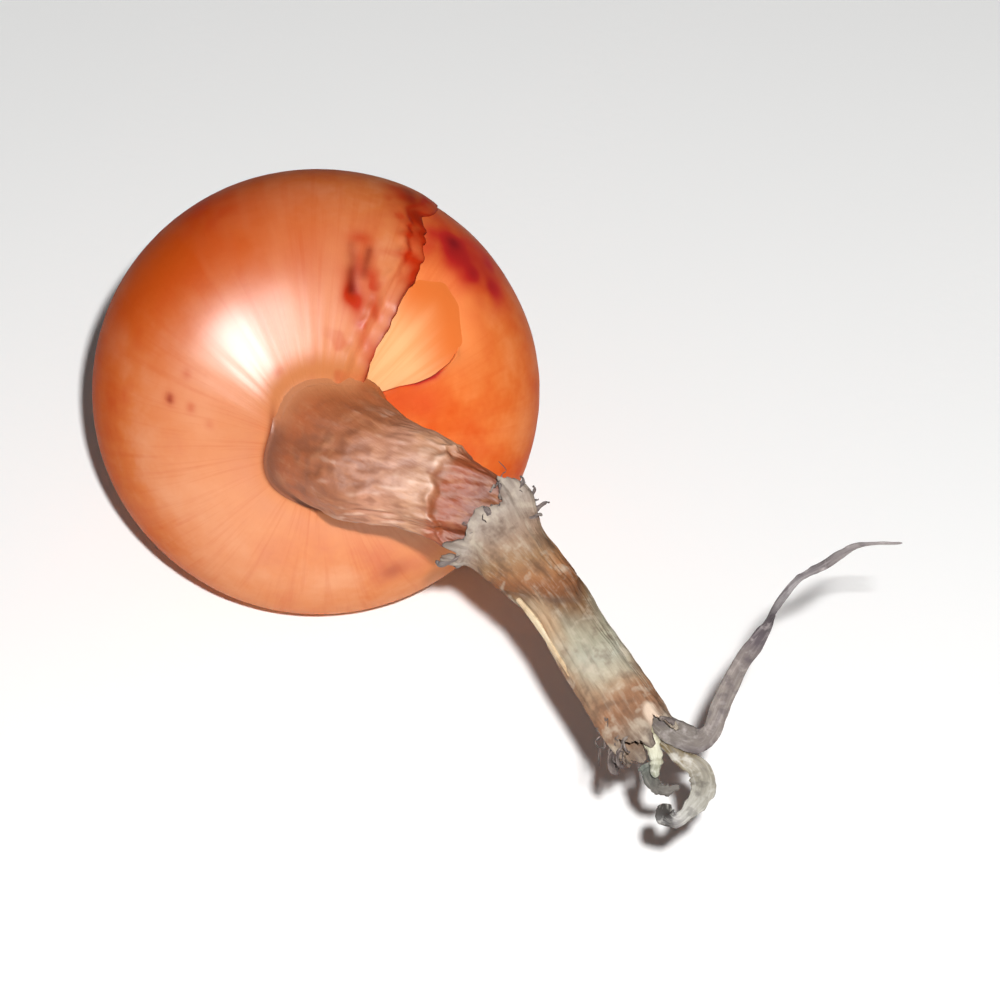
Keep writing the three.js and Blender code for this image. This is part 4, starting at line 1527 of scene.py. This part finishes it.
@dataclass(frozen=True)
class Strand:
    """A flat dried strand with lengthwise creases and uneven edges.

    Attributes:
        path: the points that it passes through.
        breadths: half breadths along it.
        thicknesses: half thicknesses along it.
        seed: picks its creases.
        crease: height of its creases, in millimetres.
        fray: how uneven its edges are.
        rows: rows along it.
        around: points round it.
        twist: the turn of its section along it, in radians.
    """

    path: Path
    breadths: Numbers
    thicknesses: Numbers
    seed: int
    crease: float
    fray: float
    rows: int = 60
    around: int = 24
    twist: Numbers = (0.0, 0.0)

    def relief(self) -> Array:
        """Lengthwise creases, slower crumples, and edges that come and go.

        The edges are where the sine of the angle is 1 or -1, so the fray is its fourth power.
        """
        noise = Noise(self.seed)
        place, angle = crossed(Tube.rounded(self.rows), round_turn(self.around))
        fine = noise.folds(angle, place, (1.0, 2.0, 7.0, 9.0), (0.8, 0.0, 2.0, 16.0))
        side = np.sin(angle)
        edge = np.stack([place * 22.0, 7.0 * np.sign(side), 0.0 * place], axis=-1)
        ragged = self.fray * side**4 * (noise.at(edge) + 0.5 * noise.at(2.6 * edge))
        return self.crease * fine + ragged

    def sheet(self) -> Sheet:
        """The strand's closed surface."""
        tube = Tube(Spline(self.path), self.thicknesses, self.breadths, LEAF_FACE, self.twist)
        return tube.rod(self.around, self.rows, out=self.relief())


@dataclass
class LeafEnds:
    """What stands out of the sheath.

    Attributes:
        stalk: the pale inner stalk.
        hook: the leaf end that curls into a hook.
        stub: a shorter leaf end.
        leaf: the one long leaf.
    """

    stalk: Strand = Strand(
        path=((22.0, -32.7, 21.2), (22.7, -34.2, 20.9), (23.0, -35.6, 20.6), (22.9, -36.7, 20.4)),
        breadths=(0.5, 0.46, 0.36, 0.2), thicknesses=(0.3, 0.3, 0.255, 0.21),
        seed=41, crease=0.12, fray=0.05,
    )
    hook: Strand = Strand(
        path=((23.4, -33.4, 20.5), (24.6, -34.7, 20.1), (25.8, -35.6, 19.8), (26.0, -36.9, 19.6),
              (25.3, -38.3, 19.3), (24.3, -39.1, 18.9), (23.6, -38.6, 18.7), (23.6, -37.4, 18.5)),
        breadths=(0.4, 0.5, 0.72, 0.85, 0.72, 0.5, 0.5, 0.62, 0.35),
        thicknesses=(0.1, 0.1, 0.085, 0.07), seed=42, crease=0.04, fray=0.1, rows=140,
    )
    stub: Strand = Strand(
        path=((22.2, -34.9, 19.5), (22.5, -35.5, 19.4), (23.0, -36.6, 19.2), (23.7, -36.8, 19.2),
              (24.5, -36.6, 19.3)),
        breadths=(0.5, 0.42, 0.42, 0.36, 0.15), thicknesses=(0.14, 0.14, 0.119, 0.098),
        seed=43, crease=0.056, fray=0.1,
    )
    leaf: Strand = Strand(
        path=((22.7, -32.6, 21.5), (24.4, -33.8, 21.2), (25.7, -34.4, 21.3), (26.5, -34.2, 22.0),
              (27.2, -33.4, 24.0), (28.4, -32.7, 27.2), (29.8, -32.2, 30.0), (30.4, -31.9, 31.6),
              (31.8, -31.1, 33.4), (33.3, -30.6, 34.2), (35.6, -29.5, 34.8), (38.4, -29.4, 35.0)),
        breadths=(0.5, 0.82, 0.82, 0.68, 0.66, 0.62, 0.48, 0.22, 0.19, 0.34, 0.18, 0.1),
        thicknesses=(0.14, 0.14, 0.14, 0.14, 0.14, 0.14, 0.16, 0.22, 0.16, 0.14, 0.11, 0.08),
        seed=44, crease=0.06, fray=0.09, rows=260, around=28,
        twist=(0.0, 0.0, 0.0, 0.0, 0.1, 0.25, 0.7, 1.6, 2.6, 3.1, 3.1, 3.1),
    )

    def build(self) -> None:
        """Builds the four strands. The leaf is darkened in its fold and under its bend, as painted
        shade.
        """
        dress(self.stalk.sheet().build("stalk"), Tint.STALK, "inner_stalk", "inner_stalk")
        dress(self.hook.sheet().build("hooked_end"), Tint.CURL, "dried_leaf", "curled_end")
        dress(self.stub.sheet().build("stub_end"), Tint.STUB, "dried_leaf", "short_end")
        leaf = self.leaf.sheet()
        side, along = np.sin(leaf.uv[..., 0] * TURN), leaf.uv[..., 1]
        # Painted shade in the fold and under the bend.
        fold = bell(side - 0.15, 0.3) * ease(0.2, 0.34, along)
        under = ease(0.2, 0.9, side) * bell(along - 0.17, 0.07)
        leaf.masks = {"grime": 0.35 * fold + 0.6 * under}
        dress(leaf.build("leaf"), Tint.LEAF, "dried_leaf", "dried_leaf")


# ------------------------------------------------------------------------------ root end


@dataclass
class RootEnd:
    """The corky root plate and the dry roots that spread from it.

    Attributes:
        form: the bulb that they grow from.
        top: height on the axis where the plate meets the bulb.
        face: height on the axis of its free face.
        radius: its radius at the bulb.
        count: how many main roots there are.
        root_radius: a root's radius.
        length: a root's usual length.
        droop: how much each further step of a root falls.
        rootlets: thin broken roots between the main ones.
    """

    form: BulbForm
    top: float = -11.6
    face: float = -13.6
    radius: float = 3.0
    count: int = 14
    root_radius: float = 0.25
    length: float = 9.0
    droop: float = 0.32
    rootlets: int = 26

    def plate(self) -> None:
        """The plate: a low ribbed cone with a rough face, closed at the middle of both faces."""
        form = self.form
        places, angles = np.linspace(0.0, 1.0, 70), round_turn(120)
        outline = [(0.0, 0.0), (0.5, 0.0), (0.97, 0.0), (1.0, 0.03), (0.98, 0.4), (0.86, 0.8),
                   (0.8, 0.97), (0.74, 1.0), (0.45, 0.97), (0.0, 0.93)]
        line = Spline([(r, h, 0.0) for r, h in outline]).at(places)
        radius = line[:, 0, None] * self.radius * (1.0 + 0.05 * np.sin(5 * angles))
        height = self.top + line[:, 1, None] * (self.face - self.top)
        radius = np.maximum(radius, 0.0)
        points = form.place(radius * np.cos(angles), radius * np.sin(angles), height)
        rough = Noise(51)
        away = unit(points - form.place(0.0, 0.0, -12.0))
        bumps = rough.lumps(points, (0.16, 50.0, 0.8), (0.1, 20.0, 0.35))
        bumps = bumps * ease(0.0, 0.12, line[:, 0, None])
        points = (points + away * bumps[..., None])[::-1]
        uv = np.stack(crossed(places, angles / TURN)[::-1], axis=-1)
        piece = Sheet(points[:, ::-1], uv, closed=True).build("plate_cork")
        dress(piece, Tint.PLATE, "root_plate", "root_plate")

    def path(self, share: float, azimuth: float, length: float) -> Array:
        """A root's line: five points that spread from the plate and droop to the floor.

        Each step goes on from the last along the axis away from the neck, outwards by the root's
        share of the plate's radius, and down a little more.
        """
        form = self.form
        reach = share * self.radius * 0.7
        axis = form.basis()[2]
        out = form.place(math.cos(azimuth), math.sin(azimuth), 0.0) - np.asarray(form.centre)
        east, north = reach * math.cos(azimuth), reach * math.sin(azimuth)
        points = [form.place(east, north, self.face + 0.25)]
        for step, spread in enumerate((0.3, 0.6, 0.85, 0.9), start=1):
            heading = -axis + out * (spread * share * 1.1)
            heading[2] -= self.droop * step
            following = points[-1] + unit(heading) * 0.25 * length
            following[2] = max(following[2], self.root_radius * 0.9)
            points.append(following)
        return np.array(points)

    def strand(self, path: Array, radius: float, rng: np.random.Generator) -> Sheet:
        """A wiry root: its line waves, and its skin is creased lengthwise."""
        line = Spline(path)
        steps = np.linspace(0.0, 1.0, 12)
        wave = rng.normal(0.0, 0.16, (12, 3)) * np.minimum(steps * 3.0, 1.0)[:, None]
        places = line.at(steps) + wave
        places[:, 2] = np.maximum(places[:, 2], radius * 1.1)
        rows, around = 70, 12
        place, angle = crossed(np.linspace(0, 1, rows), round_turn(around))
        crease = Noise(int(rng.integers(1000)))
        out = 0.2 * radius * crease.round(angle, place, 4.0, 22.0)
        taper = (radius, radius * 0.85, radius * 0.6, radius * 0.3)
        return Tube(Spline(places), taper, taper, self.form.basis()[0]).rod(around, rows, out=out)

    def build(self) -> None:
        """Builds the plate, one piece for each main root, and the thin roots as one tuft."""
        self.plate()
        golden = math.pi * (3 - math.sqrt(5))
        rng = np.random.default_rng(52)
        for i in range(self.count):
            share = math.sqrt((i + 0.5) / self.count)
            length = self.length * (0.8 + 0.25 * math.sin(3 * i + 1))
            sheet = self.strand(self.path(share, i * golden, length), self.root_radius, rng)
            dress(sheet.build(f"dry_root_{i + 1:02d}"), Tint.ROOT, "root", f"root_{i + 1:02d}")
        tuft = []
        for i in range(self.rootlets):
            share = math.sqrt((i + 0.5) / self.rootlets)
            path = self.path(share, i * golden + 0.7, float(rng.uniform(2.0, 6.0)))
            tuft.append(self.strand(path, float(rng.uniform(0.09, 0.15)), rng))
        dress(joined("rootlets", tuft), Tint.ROOT, "root")


# ------------------------------------------------------------------------------ studio


@dataclass
class Studio:
    """A white card, soft lights and the camera.

    Attributes:
        aim: the middle of the view, in millimetres.
        elevation: the camera's height above the horizon, in degrees.
        distance: from the camera to the aim.
        across: width of the view at the aim.
        card: half width of the card.
    """

    aim: tuple[float, float, float] = (12.85, -2.85, 9.6)
    elevation: float = 48.0
    distance: float = 350.0
    across: float = 70.9
    card: float = 1500.0

    def back(self) -> Array:
        """The direction from the aim to the camera."""
        angle = math.radians(self.elevation)
        return np.array([0.0, -math.cos(angle), math.sin(angle)])

    def floor(self) -> None:
        """A plain card that curves up out of sight behind, its height 0 under the onion."""
        xs = np.linspace(-self.card, self.card, 41)
        ys = np.linspace(-self.card, self.card, 81)
        y, x = crossed(ys, xs)
        z = 0.6 * np.maximum(y - 700.0, 0.0) ** 2 / 800.0
        uv = np.stack([x, y], axis=-1) / self.card
        piece = Sheet(np.stack([x, y, z], axis=-1), uv).build("card")
        piece.data.materials.append(Tint.CARD.value.material())

    def light(
        self,
        name: str,
        direction: tuple[float, float, float],
        far: float,
        size: float,
        watts: float,
        gloss_only: bool = False,
    ) -> None:
        """A square soft light that points at the onion.

        Direction is from the aim to the light, as right, up and towards the camera. With
        gloss_only it shows only as a reflection, as a faint card does.
        """
        back = self.back()
        right = np.array([1.0, 0.0, 0.0])
        up = np.cross(back, right)
        towards = unit(direction[0] * right + direction[1] * up + direction[2] * back)
        data = bpy.data.lights.new(name, "AREA")
        data.size = size * MM
        data.energy = watts
        lamp = bpy.data.objects.new(name, data)
        lamp.visible_diffuse = not gloss_only
        lamp.location = (np.asarray(self.aim) + towards * far) * MM
        lamp.rotation_euler = Vector(towards).to_track_quat("Z", "Y").to_euler()
        bpy.context.scene.collection.objects.link(lamp)

    def camera(self) -> None:
        """The camera: its lens shows the view's width on a 36 mm wide sensor."""
        data = bpy.data.cameras.new("camera")
        data.sensor_width = 36.0
        data.lens = data.sensor_width * self.distance / self.across
        data.clip_start = 0.01
        data.clip_end = 10.0
        eye = bpy.data.objects.new("camera", data)
        eye.location = (np.asarray(self.aim) + self.back() * self.distance) * MM
        eye.rotation_euler = Vector(self.back()).to_track_quat("Z", "Y").to_euler()
        bpy.context.scene.collection.objects.link(eye)
        bpy.context.scene.camera = eye

    def build(self) -> None:
        """Builds the card, the lights and the camera, and a pale room to reflect."""
        self.floor()
        self.light("key", (0.045, 0.06, 1.0), 350.0, 9.0, 1.5)
        self.light("highlight", (-0.54, 0.16, 0.82), 400.0, 90.0, 2.6, gloss_only=True)
        self.light("upper_glow", (-0.24, 0.37, 0.9), 400.0, 80.0, 0.75, gloss_only=True)
        self.camera()
        world = bpy.data.worlds.new("room")
        world.use_nodes = True
        sky = world.node_tree.nodes["Background"]
        Nodes(world.node_tree).feed(sky, {"Color": "#ffffff", "Strength": 0.07})
        scene = bpy.context.scene
        scene.world = world
        scene.view_settings.view_transform = "Standard"


def write_sizes() -> None:
    """Brings the view layer up to date."""
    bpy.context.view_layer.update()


def main() -> None:
    """Builds the onion from the bulb outwards, then the studio."""
    logging.basicConfig(level=logging.INFO, format="%(name)s: %(message)s")
    form = BulbForm()
    sleeve = Sleeve(form)
    bulb = Bulb(form, sleeve.foot())
    for part in (bulb, sleeve, Sheath(form), LeafEnds(), RootEnd(form), Studio()):
        part.build()
    write_sizes()


if __name__ == "__main__":
    main()
